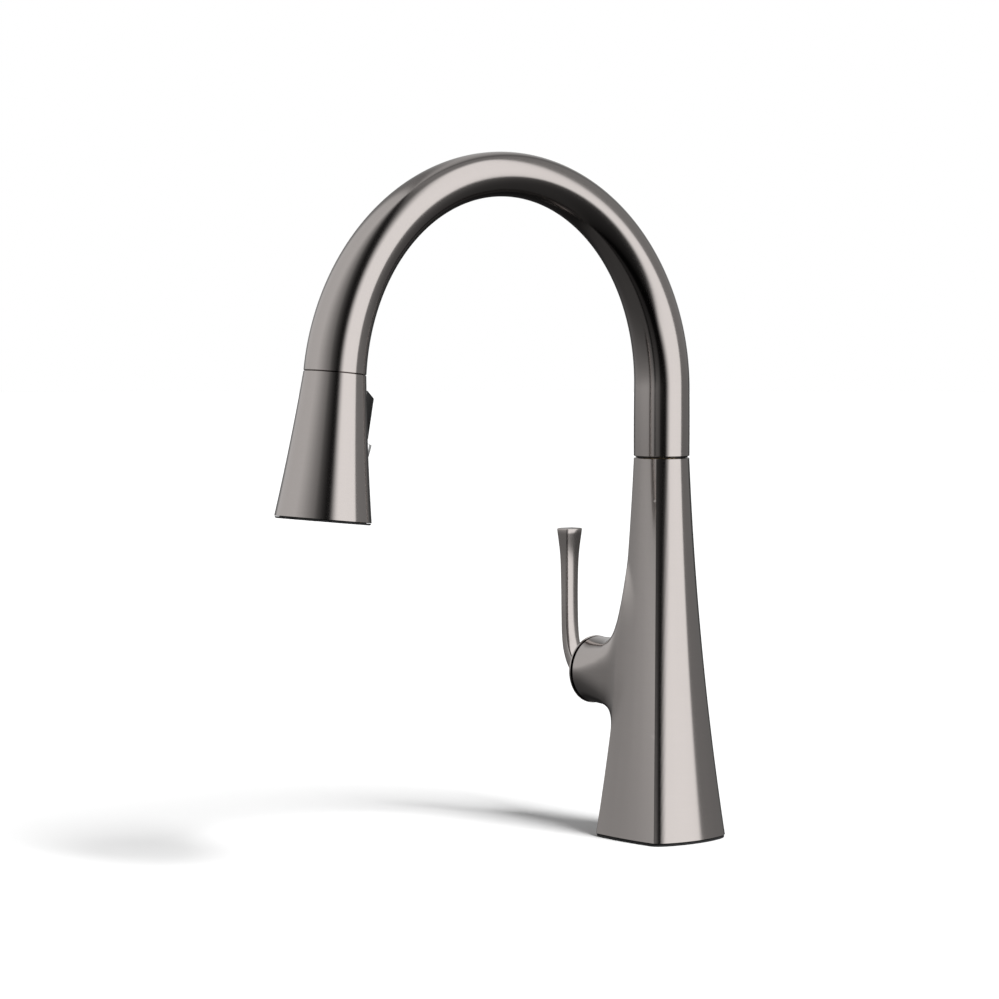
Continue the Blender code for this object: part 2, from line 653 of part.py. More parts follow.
def make_head_shell(head):
    shell = turned("head_shell", trumpet(-0.5 * MM, SHELL_END, 0, -SHELL_WALL), "titanium", head, steps=28)
    window = opening("button_window", 8.3, -45.7, -6.0, head)
    cut(shell, window)


def make_head_core(head):
    """Spigot, check valve, waterway and spray manifold inside the shell."""
    spigot = [(11.3, 14), (11.3, -2.3), (14.3, -2.3), (14.3, -6), (6, -6), (6, 5.2), (4.2, 5.2), (4.2, 14)]
    turned("head_spigot", [(r * MM, z * MM) for r, z in spigot], "black_plastic", head)
    turned("strike_plate", ring(14.4 * MM, 11.6 * MM, -0.6 * MM, -2 * MM), "steel", head)
    turned("ball_washer", ring(5.8 * MM, 2.4 * MM, -7 * MM, -9 * MM), "black_rubber", head, steps=20)
    rod("filter_screen", 5.8 * MM, -9.3 * MM, -10.1 * MM, "steel", head, steps=20)
    rod("check_valve", 5.8 * MM, -10.5 * MM, -22 * MM, "white_plastic", head, steps=20)
    way = [(10.5, -6.4), (10.5, -62), (3, -62), (3, -24), (6.2, -24), (6.2, -6.4)]
    way_piece = turned("waterway", [(r * MM, z * MM) for r, z in way], "black_plastic", head)
    spool_bore = rod("spool_bore", 2.4 * MM, -28 * MM, -66 * MM, None, head, (0, 6.6 * MM, 0), steps=12)
    cut(way_piece, spool_bore)
    rod("diverter_spool", 2.1 * MM, -32 * MM, -48 * MM, "white_plastic", head, (0, 6.6 * MM, 0), steps=12)
    manifold = [(20.4, -62.4), (22, -71.3), (4, -71.3), (4, -62.4)]
    turned("spray_manifold", [(r * MM, z * MM) for r, z in manifold], "black_plastic", head)


def make_spray_face(head):
    pad = ring(20.2 * MM, 9.8 * MM, -71.7 * MM, -73.6 * MM)
    turned("nozzle_pad", pad, "grey_silicone", head, steps=32)
    turned("spray_face", ring(20.2 * MM, 9.8 * MM, -73.9 * MM, -77.4 * MM), "black_plastic", head, steps=32)
    rim = [(22.3, -71.8), (22.9, -77.6), (25.2, -77.6), (24.9, -78.4), (20.6, -78.4), (20.6, -71.8)]
    turned("face_ring", [(r * MM, z * MM) for r, z in rim], "black_rubber", head, steps=32)
    aerator = [(0, -71.8), (9.4, -71.8), (9.4, -77.8), (8.2, -77.8), (8.2, -76.2), (0, -76.2)]
    turned("aerator", [(r * MM, z * MM) for r, z in aerator], "white_plastic", head, steps=24)


def make_buttons(head):
    """Bezel in the shell's window, a rocker above and a push button below."""
    form = trumpet(-5 * MM, -48 * MM, 0.4 * MM, -6 * MM, 6)
    bezel = turned("button_bezel", form, "chrome", head, steps=36)
    side = opening("bezel_limit", 7.9, -45.3, -6.4, head)
    combine(bezel, side, "INTERSECT")
    rocker_hole = opening("rocker_hole", BUTTON_HALF + 0.4, -33.9, -7.2, head)
    push_hole = opening("push_hole", BUTTON_HALF + 0.4, -44.5, -34.8, head)
    pin_y, pin_z = head_radius(ROCKER_Z) - 2.8 * MM, ROCKER_Z
    turned_side = (0, pi / 2, 0)
    pin_place = (0, pin_y, pin_z)
    pin_hole = rod("bezel_pin_hole", 1.3 * MM, 9 * MM, -9 * MM, None, head, pin_place, turned_side, 12)
    cut(bezel, rocker_hole, push_hole, pin_hole)
    rod("rocker_pin", MM, 7.6 * MM, -7.6 * MM, "steel", head, pin_place, turned_side, 12)

    pivot = frame("rocker_axis", (0, pin_y, pin_z), parent=head)
    front = [(-7.7, 0.7), (-11.4, 5), (-33.3, 0.9)]
    back = [(-33.3, -3.4), (-21, -5), (-7.7, -3.4)]
    points = [(head_radius(z * MM) + out * MM - pin_y, z * MM - pin_z) for z, out in front + back]
    rocker = outline("rocker_button", points, BUTTON_HALF * MM, "black_plastic", pivot)
    bore = rod("rocker_bore", 1.3 * MM, 9 * MM, -9 * MM, None, pivot, (0, 0, 0), turned_side, 12)
    cut(rocker, bore)

    front = [(-35.3, 0.6), (-36.1, 3.4), (-44, 0.6)]
    back = [(-44, -3.5), (-35.3, -3.5)]
    points = [(head_radius(z * MM) + out * MM, z * MM) for z, out in front + back]
    push = outline("push_button", points, BUTTON_HALF * MM, "chrome", head)
    inner = head_radius(PUSH_Z) - 3 * MM
    turned_back = (-pi / 2, 0, 0)
    plunger = rod("plunger_form", 1.6 * MM, inner, 13 * MM, None, head, (0, 0, PUSH_Z), turned_back, 12)
    join(push, plunger)
    coil = []
    turns, per_turn, low, high = 3, 8, 11.4 * MM, 14.9 * MM
    for i in range(int(turns * per_turn) + 1):
        angle = 2 * pi * i / per_turn
        y = low + (high - low) * i / (turns * per_turn)
        coil.append((2.6 * MM * cos(angle), y, PUSH_Z + 2.6 * MM * sin(angle)))
    pipe("push_spring", coil, [0.3 * MM] * len(coil), "steel", 6, head)


def main():
    global parts, cutters
    clear_scene()
    parts = new_collection("pull_down_faucet")
    cutters = new_collection("cutters")
    valve = frame("handle_pivot", (PIVOT_X, 0, BOSS_Z), (0, -pi / 2, 0))
    swivel = frame("spout_axis", (0, 0, SWIVEL_Z))
    head = frame("head_axis", (0, DOCK_Y, DOCK_Z), (-LEAN, 0, 0))
    bpy.context.view_layer.update()
    make_body()
    make_base()
    make_deck_clamp()
    make_valve_block()
    make_cartridge(valve)
    make_bonnet(valve)
    make_handle(valve)
    make_swivel()
    make_spout(swivel, head)
    make_hose(swivel)
    make_hose_end(head)
    make_head_shell(head)
    make_head_core(head)
    make_spray_face(head)
    make_buttons(head)


main()
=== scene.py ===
import json
from math import asin, cos, pi, radians, sin, sqrt

import bmesh
import bpy
import numpy as np
from mathutils import Matrix, Vector


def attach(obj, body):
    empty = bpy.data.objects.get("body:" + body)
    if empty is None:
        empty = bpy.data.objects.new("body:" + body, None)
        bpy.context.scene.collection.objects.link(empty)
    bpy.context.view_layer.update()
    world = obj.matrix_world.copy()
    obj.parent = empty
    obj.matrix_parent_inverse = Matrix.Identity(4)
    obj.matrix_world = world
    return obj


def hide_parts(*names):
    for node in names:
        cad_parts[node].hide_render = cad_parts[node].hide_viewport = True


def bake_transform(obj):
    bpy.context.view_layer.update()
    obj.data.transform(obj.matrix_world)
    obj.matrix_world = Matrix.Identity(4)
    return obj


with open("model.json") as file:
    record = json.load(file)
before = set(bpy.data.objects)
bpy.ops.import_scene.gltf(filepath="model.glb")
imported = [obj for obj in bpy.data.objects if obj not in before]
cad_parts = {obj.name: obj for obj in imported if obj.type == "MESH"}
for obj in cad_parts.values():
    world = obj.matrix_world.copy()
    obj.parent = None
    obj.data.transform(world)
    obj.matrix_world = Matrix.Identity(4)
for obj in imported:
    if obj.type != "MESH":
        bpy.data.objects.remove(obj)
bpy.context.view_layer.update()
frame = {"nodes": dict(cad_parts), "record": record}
nodes = frame["nodes"]
mm = 0.001

# Places that all pieces share: +Z up, the spout reaches towards -Y, the lever is on the -X side
layout = {
    "swivelZ": 219.6 * mm,
    "arcZ": 259.2 * mm,
    "arcRadius": 118 * mm,
    "lean": radians(6.1),  # of the spray head, from upright
    "tail": 1.3 * mm,  # the spout's straight end after its arc
    "pivotX": -33 * mm,  # where the lever tilts
    "bossZ": 92.2 * mm,
    "seamOut": 22 * mm,  # the lever's seam, from its pivot
}
arcRadius, lean = layout["arcRadius"], layout["lean"]
headAxis = Vector((0, -sin(lean), -cos(lean)))  # down the head
dock = Vector((0, -arcRadius * (1 + cos(lean)), layout["arcZ"] + arcRadius * sin(lean)))
dock = dock + layout["tail"] * headAxis  # where the spray head meets the spout
headFrame = Matrix.Translation(dock) @ Matrix.Rotation(-lean, 4, "X")
valveFrame = Matrix.Translation((layout["pivotX"], 0, layout["bossZ"])) @ Matrix.Rotation(-pi / 2, 4, "Y")


# Camera, light and floor

studio = {
    "camera": (1.3752, -1.2947, 0.3098),
    "turn": (radians(86.5025), 0, radians(49.542)),
    "lens": 118.927,
    "sun": 4.2,  # makes the floor white and its shadow soft
    "sunFrom": (radians(53), radians(4)),  # height, and angle from +X
    "sunSize": radians(21),
    "ambient": 0.36,  # what matt surfaces get from all round
    "softbox": 1.62,
    # the big softbox's edges, each from and to (degrees right of the camera, degrees up), then its softness
    "softboxLines": [((20, -15), (42, 45), 0.2), ((108, 46), (82, -10), 0.035),
                     ((38, 66), (110, 62), 0.1), ((84, -9), (17, -20), 0.06)],
    "horizon": (-0.05, 0.1),  # the height's sine where the lower half gives way to the upper
    # brightness round the room, as (degrees to the right of the camera, radiance)
    "upper": [(-180, 0.6), (-166, 0.26), (-154, 0.3), (-140, 0.82), (-70, 0.9), (-50, 0.68),
              (-30, 0.42), (-19, 0.3), (-11, 0.15), (0, 0.06), (10, 0.015), (24, 0.02), (36, 0.2),
              (84, 0.35), (140, 0.34), (154, 0.18), (168, 0.5), (180, 0.6)],
    "lower": [(-180, 0.1), (-158, 0.1), (-138, 0.38), (-90, 0.5), (-40, 0.5), (-35, 0.4), (-33, 0.02),
              (-29, 0.02), (-26, 0.2), (-13, 0.16), (-8, 0.014), (12, 0.01), (25, 0.08), (84, 0.3),
              (138, 0.26), (150, 0.06), (180, 0.1)],
    # how the lower half fades with the height's sine
    "fade": [(-1, 0.14), (-0.56, 0.19), (-0.4, 0.26), (-0.27, 0.39), (-0.14, 0.56), (-0.03, 1)],
    "floorRings": (17.5 * mm, 0.4, 9),  # the hole for the shank, then out to the edge
    "floorZ": -0.06 * mm,
    "floorShades": (0.79, 0.81),
}


def link(tree, output, socket):
    tree.links.new(output, socket)


def mathNode(tree, operation, first, second=None, third=None):
    node = tree.nodes.new("ShaderNodeMath")
    node.operation = operation
    for number, value in enumerate((first, second, third)):
        if isinstance(value, (int, float)):
            node.inputs[number].default_value = value
        elif value is not None:
            link(tree, value, node.inputs[number])
    return node.outputs[0]


def rampNode(tree, factor, stops):
    # stops are (place from 0 to 1, grey or colour)
    node = tree.nodes.new("ShaderNodeValToRGB")
    elements = node.color_ramp.elements
    while len(elements) < len(stops):
        elements.new(0.5)
    for element, (place, shade) in zip(elements, stops):
        element.position = place
        element.color = (*shade, 1) if isinstance(shade, tuple) else (shade, shade, shade, 1)
    link(tree, factor, node.inputs["Fac"])
    return node.outputs["Color"]


def mixNode(tree, factor, first, second, blend="MIX"):
    node = tree.nodes.new("ShaderNodeMix")
    node.data_type = "RGBA"
    node.blend_type = blend
    for socket, value in ((node.inputs[0], factor), (node.inputs[6], first), (node.inputs[7], second)):
        if isinstance(value, bpy.types.NodeSocket):
            link(tree, value, socket)
        else:
            socket.default_value = value
    return node.outputs[2]


def rangeNode(tree, value, start, end, low=0, high=1, kind="LINEAR"):
    node = tree.nodes.new("ShaderNodeMapRange")
    node.interpolation_type = kind
    for name, number in (("From Min", start), ("From Max", end), ("To Min", low), ("To Max", high)):
        node.inputs[name].default_value = number
    link(tree, value, node.inputs["Value"])
    return node.outputs[0]


def towards(turn, height):
    # a direction, in degrees from the camera and up, where +X is the camera's side
    turn, height = radians(turn), radians(height)
    return Vector((cos(height) * cos(turn), cos(height) * sin(turn), sin(height)))


def makeWorld():
    world = bpy.data.worlds.new("softStudio")
    bpy.context.scene.world = world
    world.use_nodes = True
    tree = world.node_tree
    background = tree.nodes["Background"]
    place = tree.nodes.new("ShaderNodeTexCoord")
    turned = tree.nodes.new("ShaderNodeVectorRotate")
    turned.rotation_type = "Z_AXIS"
    turned.inputs["Angle"].default_value = pi / 2 - studio["turn"][2]
    link(tree, place.outputs["Generated"], turned.inputs["Vector"])
    apart = tree.nodes.new("ShaderNodeSeparateXYZ")
    link(tree, turned.outputs[0], apart.inputs[0])
    x, y, z = apart.outputs
    around = mathNode(tree, "ARCTAN2", y, x)
    share = mathNode(tree, "MULTIPLY_ADD", around, 1 / (2 * pi), 0.5)
    halves = {}
    for half in ("upper", "lower"):
        stops = [((angle + 180) / 360, light) for angle, light in studio[half]]
        halves[half] = rampNode(tree, share, stops)
    heightShare = mathNode(tree, "MULTIPLY_ADD", z, 0.5, 0.5)
    fade = rampNode(tree, heightShare, [((sine + 1) / 2, light) for sine, light in studio["fade"]])
    low = mixNode(tree, 1.0, halves["lower"], fade, "MULTIPLY")
    horizon = rangeNode(tree, z, *studio["horizon"], kind="SMOOTHSTEP")
    room = mixNode(tree, horizon, low, halves["upper"])
    inside = None
    for start, end, soft in studio["softboxLines"]:
        inward = towards(*start).cross(towards(*end)).normalized()
        along = tree.nodes.new("ShaderNodeVectorMath")
        along.operation = "DOT_PRODUCT"
        along.inputs[1].default_value = -inward
        link(tree, turned.outputs[0], along.inputs[0])
        edge = rangeNode(tree, along.outputs["Value"], -soft, soft, kind="SMOOTHSTEP")
        inside = edge if inside is None else mathNode(tree, "MULTIPLY", inside, edge)
    box = (studio["softbox"],) * 3 + (1,)
    shiny = mixNode(tree, inside, room, box)
    path = tree.nodes.new("ShaderNodeLightPath")
    matt = mixNode(tree, path.outputs["Is Diffuse Ray"], shiny, (studio["ambient"],) * 3 + (1,))
    seen = mixNode(tree, path.outputs["Is Camera Ray"], matt, (1, 1, 1, 1))
    link(tree, seen, background.inputs["Color"])


def makeStudio():
    makeWorld()
    sun = bpy.data.objects.new("sun", bpy.data.lights.new("sun", "SUN"))
    sun.data.energy = studio["sun"]
    sun.data.angle = studio["sunSize"]
    height, side = studio["sunFrom"]
    source = Vector((cos(height) * cos(side), cos(height) * sin(side), sin(height)))
    sun.rotation_euler = source.to_track_quat("Z", "Y").to_euler()
    sun.visible_glossy = False
    camera = bpy.data.objects.new("camera", bpy.data.cameras.new("camera"))
    camera.location = studio["camera"]
    camera.rotation_euler = studio["turn"]
    camera.data.sensor_width = 36
    camera.data.lens = studio["lens"]
    camera.data.clip_start, camera.data.clip_end = 0.05, 50
    for thing in (sun, camera):
        bpy.context.scene.collection.objects.link(thing)
    bpy.context.scene.camera = camera
    bpy.context.scene.view_settings.view_transform = "Standard"
    print("studio: room, sun and camera")


def makeFloor():
    turns = np.linspace(0, 2 * pi, 64, endpoint=False)
    floor = sweptMesh("floor", np.array([ringAt(radius, turns, studio["floorZ"])
                                         for radius in studio["floorRings"]]))
    material, tree, shader = principled("paleFloor", 0)
    place = tree.nodes.new("ShaderNodeTexCoord")
    cloud = noiseNode(tree, place.outputs["Object"], (3, 3, 3), 2)
    dark, light = studio["floorShades"]
    link(tree, rampNode(tree, cloud, [(0.3, dark), (0.7, light)]), shader.inputs["Base Color"])
    shader.inputs["Roughness"].default_value = 0.9
    shader.inputs["Specular IOR Level"].default_value = 0.0
    floor.data.materials.append(material)
    floor.visible_glossy = False
    print("floor")


# Meshes


def placed(name, mesh):
    piece = bpy.data.objects.new(name, mesh)
    bpy.context.scene.collection.objects.link(piece)
    return piece


def newPiece(name, points, faces):
    mesh = bpy.data.meshes.new(name)
    mesh.from_pydata([tuple(float(c) for c in p) for p in points], [], faces)
    mesh.update()
    return placed(name, mesh)


def gridFaces(rows, columns, joined):
    # quads over rows of points that run once round, outward where the columns turn left going up the rows
    faces = []
    for r in range(rows if joined else rows - 1):
        low, high = r * columns, (r + 1) % rows * columns
        for c in range(columns):
            d = (c + 1) % columns
            faces.append((low + c, low + d, high + d, high + c))
    return faces


def sweptMesh(name, rows, joined=False, capped=False):
    count, columns = rows.shape[:2]
    faces = gridFaces(count, columns, joined)
    if capped:
        faces += [tuple(range(columns))[::-1], tuple(range((count - 1) * columns, count * columns))]
    return newPiece(name, rows.reshape(-1, 3), faces)


def ringAt(size, angles, z):
    # points round +Z at one height
    return np.stack([size * np.cos(angles), size * np.sin(angles), np.full(len(angles), z)], 1)


def inMillimetres(outline):
    return [(a * mm, b * mm) for a, b in outline]


def mended(piece):
    # merged, and with its faces pointing out
    form = bmesh.new()
    form.from_mesh(piece.data)
    bmesh.ops.remove_doubles(form, verts=form.verts, dist=0.002 * mm)
    bmesh.ops.recalc_face_normals(form, faces=form.faces)
    form.to_mesh(piece.data)
    form.free()
    return piece


def smooth(piece, angle=32):
    piece.data.shade_smooth()
    piece.data.set_sharp_from_angle(angle=radians(angle))
    return piece


def baked(piece):
    # the modifiers' result becomes the piece's own mesh
    graph = bpy.context.evaluated_depsgraph_get()
    mesh = bpy.data.meshes.new_from_object(piece.evaluated_get(graph), depsgraph=graph)
    piece.modifiers.clear()
    old, piece.data = piece.data, mesh
    mesh.name = piece.name
    bpy.data.meshes.remove(old)
    return piece


def combined(piece, other, operation):
    step = piece.modifiers.new(operation, "BOOLEAN")
    step.operation = operation
    step.object = other
    baked(piece)
    bpy.data.objects.remove(other)
    return piece


def bevelled(piece, width, segments=2, angle=30):
    step = piece.modifiers.new("bevel", "BEVEL")
    step.width = width
    step.segments = segments
    step.limit_method = "ANGLE"
    step.angle_limit = radians(angle)
    step.miter_outer = "MITER_ARC"
    return baked(piece)


def lathe(name, profile, steps=96, frameMatrix=Matrix.Identity(4)):
    # profile is a closed outline of (radius, height), with both of its ends on the axis or neither
    angles = np.linspace(0, 2 * pi, steps, endpoint=False)
    rows = [ringAt(radius, angles, height) for radius, height in profile]
    piece = sweptMesh(name, np.array(rows), joined=profile[0][0] > 0)
    mended(piece)
    piece.data.transform(frameMatrix)
    return piece


def boxPiece(name, low, high, frameMatrix=Matrix.Identity(4)):
    form = bmesh.new()
    bmesh.ops.create_cube(form, size=1)
    low, high = Vector(low), Vector(high)
    bmesh.ops.scale(form, verts=form.verts, vec=high - low)
    bmesh.ops.translate(form, verts=form.verts, vec=(low + high) / 2)
    mesh = bpy.data.meshes.new(name)
    form.to_mesh(mesh)
    form.free()
    mesh.transform(frameMatrix)
    return placed(name, mesh)


def roundCorner(outline, i, reach, steps, most=0.45):
    # points along a curve that takes off one corner of a closed outline
    here = Vector(outline[i])
    back = Vector(outline[i - 1]) - here
    on = Vector(outline[(i + 1) % len(outline)]) - here
    reach = min(reach, back.length * most, on.length * most)
    start, end = here + back.normalized() * reach, here + on.normalized() * reach
    shares = [k / steps for k in range(steps + 1)]
    return [tuple(start * (1 - t) ** 2 + here * 2 * t * (1 - t) + end * t * t) for t in shares]


def rounded(profile, radius, steps=3):
    found = []
    for i in range(len(profile)):
        found += roundCorner(profile, i, radius, steps)
    return found


def valuesOf(items, field, kind=float, width=1):
    values = np.zeros(len(items) * width, kind)
    items.foreach_get(field, values)
    return values if width == 1 else values.reshape(-1, width)


def corners(piece, frameMatrix=Matrix.Identity(4)):
    # the mesh's points, in a frame
    back = np.array(frameMatrix.inverted())
    return valuesOf(piece.data.vertices, "co", width=3) @ back[:3, :3].T + back[:3, 3]


def layMap(mesh, name, along, turns, whole, radius):
    # a map from each point's distance along and turn round, with no jump where a turn closes
    spots = valuesOf(mesh.loops, "vertex_index", int)
    starts, totals = (valuesOf(mesh.polygons, field, int) for field in ("loop_start", "loop_total"))
    first = np.repeat(turns[spots[starts]], totals)
    near = turns[spots] - whole * np.round((turns[spots] - first) / whole)
    layer = mesh.uv_layers.new(name=name)
    layer.data.foreach_set("uv", np.stack([along[spots], near * radius], 1).ravel())


def layGrain(piece, along, angle, radius):
    # a map along and round the piece for the brushing, and the same as an attribute with no seam
    attribute = piece.data.attributes.new("grain", "FLOAT_VECTOR", "POINT")
    places = np.stack([along, radius * np.cos(angle), radius * np.sin(angle)], 1)
    attribute.data.foreach_set("vector", places.ravel())
    layMap(piece.data, "grainMap", along, angle, 2 * pi, radius)


def grainRound(piece, frameMatrix, radius):
    # brushed round the axis of a frame
    local = corners(piece, frameMatrix)
    layGrain(piece, local[:, 2], np.arctan2(local[:, 1], local[:, 0]), radius)


# Finishes


def principled(name, metallic):
    material = bpy.data.materials.new(name)
    material.use_nodes = True
    shader = material.node_tree.nodes["Principled BSDF"]
    shader.inputs["Metallic"].default_value = metallic
    return material, material.node_tree, shader


def noiseNode(tree, vector, scale, detail):
    mapping = tree.nodes.new("ShaderNodeMapping")
    mapping.inputs["Scale"].default_value = scale
    link(tree, vector, mapping.inputs["Vector"])
    noise = tree.nodes.new("ShaderNodeTexNoise")
    noise.inputs["Scale"].default_value = 1
    noise.inputs["Detail"].default_value = detail
    link(tree, mapping.outputs[0], noise.inputs["Vector"])
    return noise.outputs["Fac"]


# scale is the grain's count to a metre each way and cloud a broader one, tint how far the colour
# strays, spread how far the roughness does, and wear how much the edges brighten
finishes = {
    "titanium": dict(colour=(0.42, 0.389, 0.374), metallic=1, roughness=0.15, spread=0.03,
                     scale=(3200, 60, 60), cloud=(5, 170, 170), bump=0.003, tint=0.03, wear=0.25,
                     grain="grain", anisotropy=0.45),
    "brass": dict(colour=(0.75, 0.56, 0.29), metallic=1, roughness=0.28, spread=0.12,
                  scale=(900, 900, 4000), bump=0.01, tint=0.08, wear=0.2),
    "steel": dict(colour=(0.58, 0.58, 0.57), metallic=1, roughness=0.26, spread=0.1,
                  scale=(800, 800, 3000), bump=0.01, tint=0.05, wear=0.2),
    "chrome": dict(colour=(0.83, 0.83, 0.83), metallic=1, roughness=0.07, spread=0.04,
                   scale=(300, 300, 300), bump=0.002, tint=0.02, wear=0.1),
    "magnet": dict(colour=(0.42, 0.42, 0.43), metallic=1, roughness=0.35, spread=0.1,
                   scale=(900, 900, 900), bump=0.01, tint=0.06, wear=0.3),
    "black_plastic": dict(colour=(0.006, 0.006, 0.006), metallic=0, roughness=0.3, spread=0.1,
                          scale=(1500, 1500, 1500), bump=0.01, tint=0.2, wear=0.1, gloss=0.2),
    "white_plastic": dict(colour=(0.72, 0.72, 0.69), metallic=0, roughness=0.42, spread=0.1,
                          scale=(1200, 1200, 1200), bump=0.015, tint=0.03, wear=0.1),
    "black_rubber": dict(colour=(0.011, 0.011, 0.012), metallic=0, roughness=0.7, spread=0.12,
                         scale=(2500, 2500, 2500), bump=0.04, tint=0.25, wear=0.4),
    "grey_silicone": dict(colour=(0.12, 0.12, 0.125), metallic=0, roughness=0.6, spread=0.1,
                          scale=(2000, 2000, 2000), bump=0.03, tint=0.12, wear=0.2),
    "ceramic": dict(colour=(0.86, 0.84, 0.79), metallic=0, roughness=0.2, spread=0.08,
                    scale=(1800, 1800, 1800), bump=0.006, tint=0.03, wear=0.05),
    "hose_braid": dict(colour=(0.05, 0.05, 0.052), metallic=0, roughness=0.5, spread=0.15,
                       scale=(900, 900, 900), bump=0.03, tint=0.3, wear=0.5),
}


def makeFinish(name, colour, metallic, roughness, spread, scale, bump, tint, wear,
               grain=None, anisotropy=0, gloss=0.5, cloud=(35, 35, 35)):
    material, tree, shader = principled(name, metallic)
    shader.inputs["Specular IOR Level"].default_value = gloss
    if grain:
        source = tree.nodes.new("ShaderNodeAttribute")
        source.attribute_name = grain
        vector = source.outputs["Vector"]
    else:
        vector = tree.nodes.new("ShaderNodeTexCoord").outputs["Object"]
    fine = noiseNode(tree, vector, scale, 3)
    broad = noiseNode(tree, vector, cloud, 2)
    both = mathNode(tree, "MULTIPLY_ADD", fine, 0.5, mathNode(tree, "MULTIPLY", broad, 0.5))
    dark = tuple(channel * (1 - tint) for channel in colour)
    light = tuple(min(1, channel * (1 + tint)) for channel in colour)
    shade = rampNode(tree, both, [(0.3, dark), (0.7, light)])
    edges = tree.nodes.new("ShaderNodeNewGeometry")
    worn = rangeNode(tree, edges.outputs["Pointiness"], 0.53, 0.62, 0, wear)
    bright = tuple(min(1, channel * 1.3 + 0.02) for channel in colour)
    link(tree, mixNode(tree, worn, shade, (*bright, 1)), shader.inputs["Base Color"])
    rough = rangeNode(tree, both, 0.3, 0.7, roughness - spread / 2, roughness + spread / 2)
    link(tree, rough, shader.inputs["Roughness"])
    relief = tree.nodes.new("ShaderNodeBump")
    relief.inputs["Strength"].default_value = 1
    relief.inputs["Distance"].default_value = bump * mm
    link(tree, fine, relief.inputs["Height"])
    link(tree, relief.outputs[0], shader.inputs["Normal"])
    if anisotropy:
        shader.inputs["Anisotropic"].default_value = anisotropy
        lay = tree.nodes.new("ShaderNodeTangent")
        lay.direction_type = "UV_MAP"
        lay.uv_map = "grainMap"
        link(tree, lay.outputs[0], shader.inputs["Tangent"])
    return material


materials = {name: makeFinish(name, **look) for name, look in finishes.items()}
plainTitanium = makeFinish("titanium_plain", **dict(finishes["titanium"], grain=None, anisotropy=0))


def finishPiece(piece, body, slot, *replaced, material=None):
    piece.data.materials.clear()
    piece.data.materials.append(material or materials[slot])
    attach(piece, body)
    if replaced:
        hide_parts(*replaced)
    print(piece.name, len(piece.data.polygons), "faces on", body)


def dressFrame():
    # the CAD nodes that stay get their finishes
    for row in frame["record"]["subparts"]:
        node = nodes[row["node"]]
        slot = row["material_slot"]
        node.data.materials.clear()
        node.data.materials.append(plainTitanium if slot == "titanium" else materials[slot])


# Body: a bowed square foot that sweeps up into a round neck, with the lever's boss on its left

body = {
    "foot": 1.5 * mm,
    "neck": 218.6 * mm,
    "neckRadius": 15.55 * mm,
    "footSide": 32.6 * mm,  # from the middle to a side
    # length and turn in degrees of each stretch of the foot's outline, from a side to the corner's crease
    "footTurns": [(20 * mm, 17), (6.6 * mm, 15.5), (1.8 * mm, 17), (1.8 * mm, 0)],
    "footBow": 1.4 * mm,  # how far the front and back stand out
    "neckCrease": (54.2, 0.42 * mm, 0.35),  # degrees round from a side, height, and reach in radians
    "linear": 0.44,  # share of the flare that grows evenly with depth
    "wall": 1.9 * mm,
    "bossRadius": 19.4 * mm,
    "bossEnd": -54.9 * mm,
    "flareFrom": -43 * mm,
    "flareTo": -18 * mm,
    "flareUp": (24 * mm, 3.4),  # height gained at the body, and the power that it grows by
    "flareDown": (21.6 * mm, 3.6),
    "square": 1.6,  # how much squarer the boss gets where it joins the body
    "squareFrom": (-53 * mm, 22 * mm, 1.5),  # from there on, over this length, growing by this power
    "fillet": 9 * mm,
    "chamfer": 0.35 * mm,
    "voxel": 1.15 * mm,
}


def flareAt(height):
    down = 1 - height / layout["swivelZ"]
    return body["linear"] * down + (1 - body["linear"]) * down * down


def footQuarter(count=120):
    # the foot's outline from the middle of a side to the crease, then to the middle of the front
    x, y, angle = body["footSide"], 0.0, 0.0
    total = sum(length for length, turn in body["footTurns"])
    side = [(x, y)]
    for length, turn in body["footTurns"]:
        pieces = max(2, round(count * length / total))
        for _ in range(pieces):
            angle += radians(turn) / pieces / 2
            x -= length / pieces * sin(angle)
            y += length / pieces * cos(angle)
            angle += radians(turn) / pieces / 2
            side.append((x, y))
    front = []
    for i in range(count + 1):
        share = i / count
        front.append((x * (1 - share), y + body["footBow"] * (1 - (1 - share) ** 2)))
    return np.array(side), np.array(front)


def neckQuarter(sideCount, frontCount):
    turn, height, reach = body["neckCrease"]
    turn = radians(turn)
    parts = []
    for start, end, number in ((0, turn, sideCount), (turn, pi / 2, frontCount)):
        angles = np.linspace(start, end, number)
        size = body["neckRadius"] + height * np.clip(1 - np.abs(angles - turn) / reach, 0, 1) ** 2
        parts.append(np.stack([size * np.cos(angles), size * np.sin(angles)], 1))
    return parts


def sizeTable(rows=120, columns=600):
    # the outline's distance from the middle, for shares of the flare and angles from a side to the front
    side, front = footQuarter()
    neckSide, neckFront = neckQuarter(len(side), len(front))
    foot = np.concatenate([side, front[1:]])
    neck = np.concatenate([neckSide, neckFront[1:]])
    angles = np.linspace(0, pi / 2, columns)
    table, creases = [], []
    for share in np.linspace(-0.04, 1.08, rows):
        ring = neck * (1 - share) + foot * share
        turns = np.arctan2(ring[:, 1], ring[:, 0])
        table.append(np.interp(angles, turns, np.hypot(ring[:, 0], ring[:, 1])))
        creases.append(ring[len(side) - 1])
    return np.array(table), np.array(creases)


outlineTable, creaseTable = sizeTable()


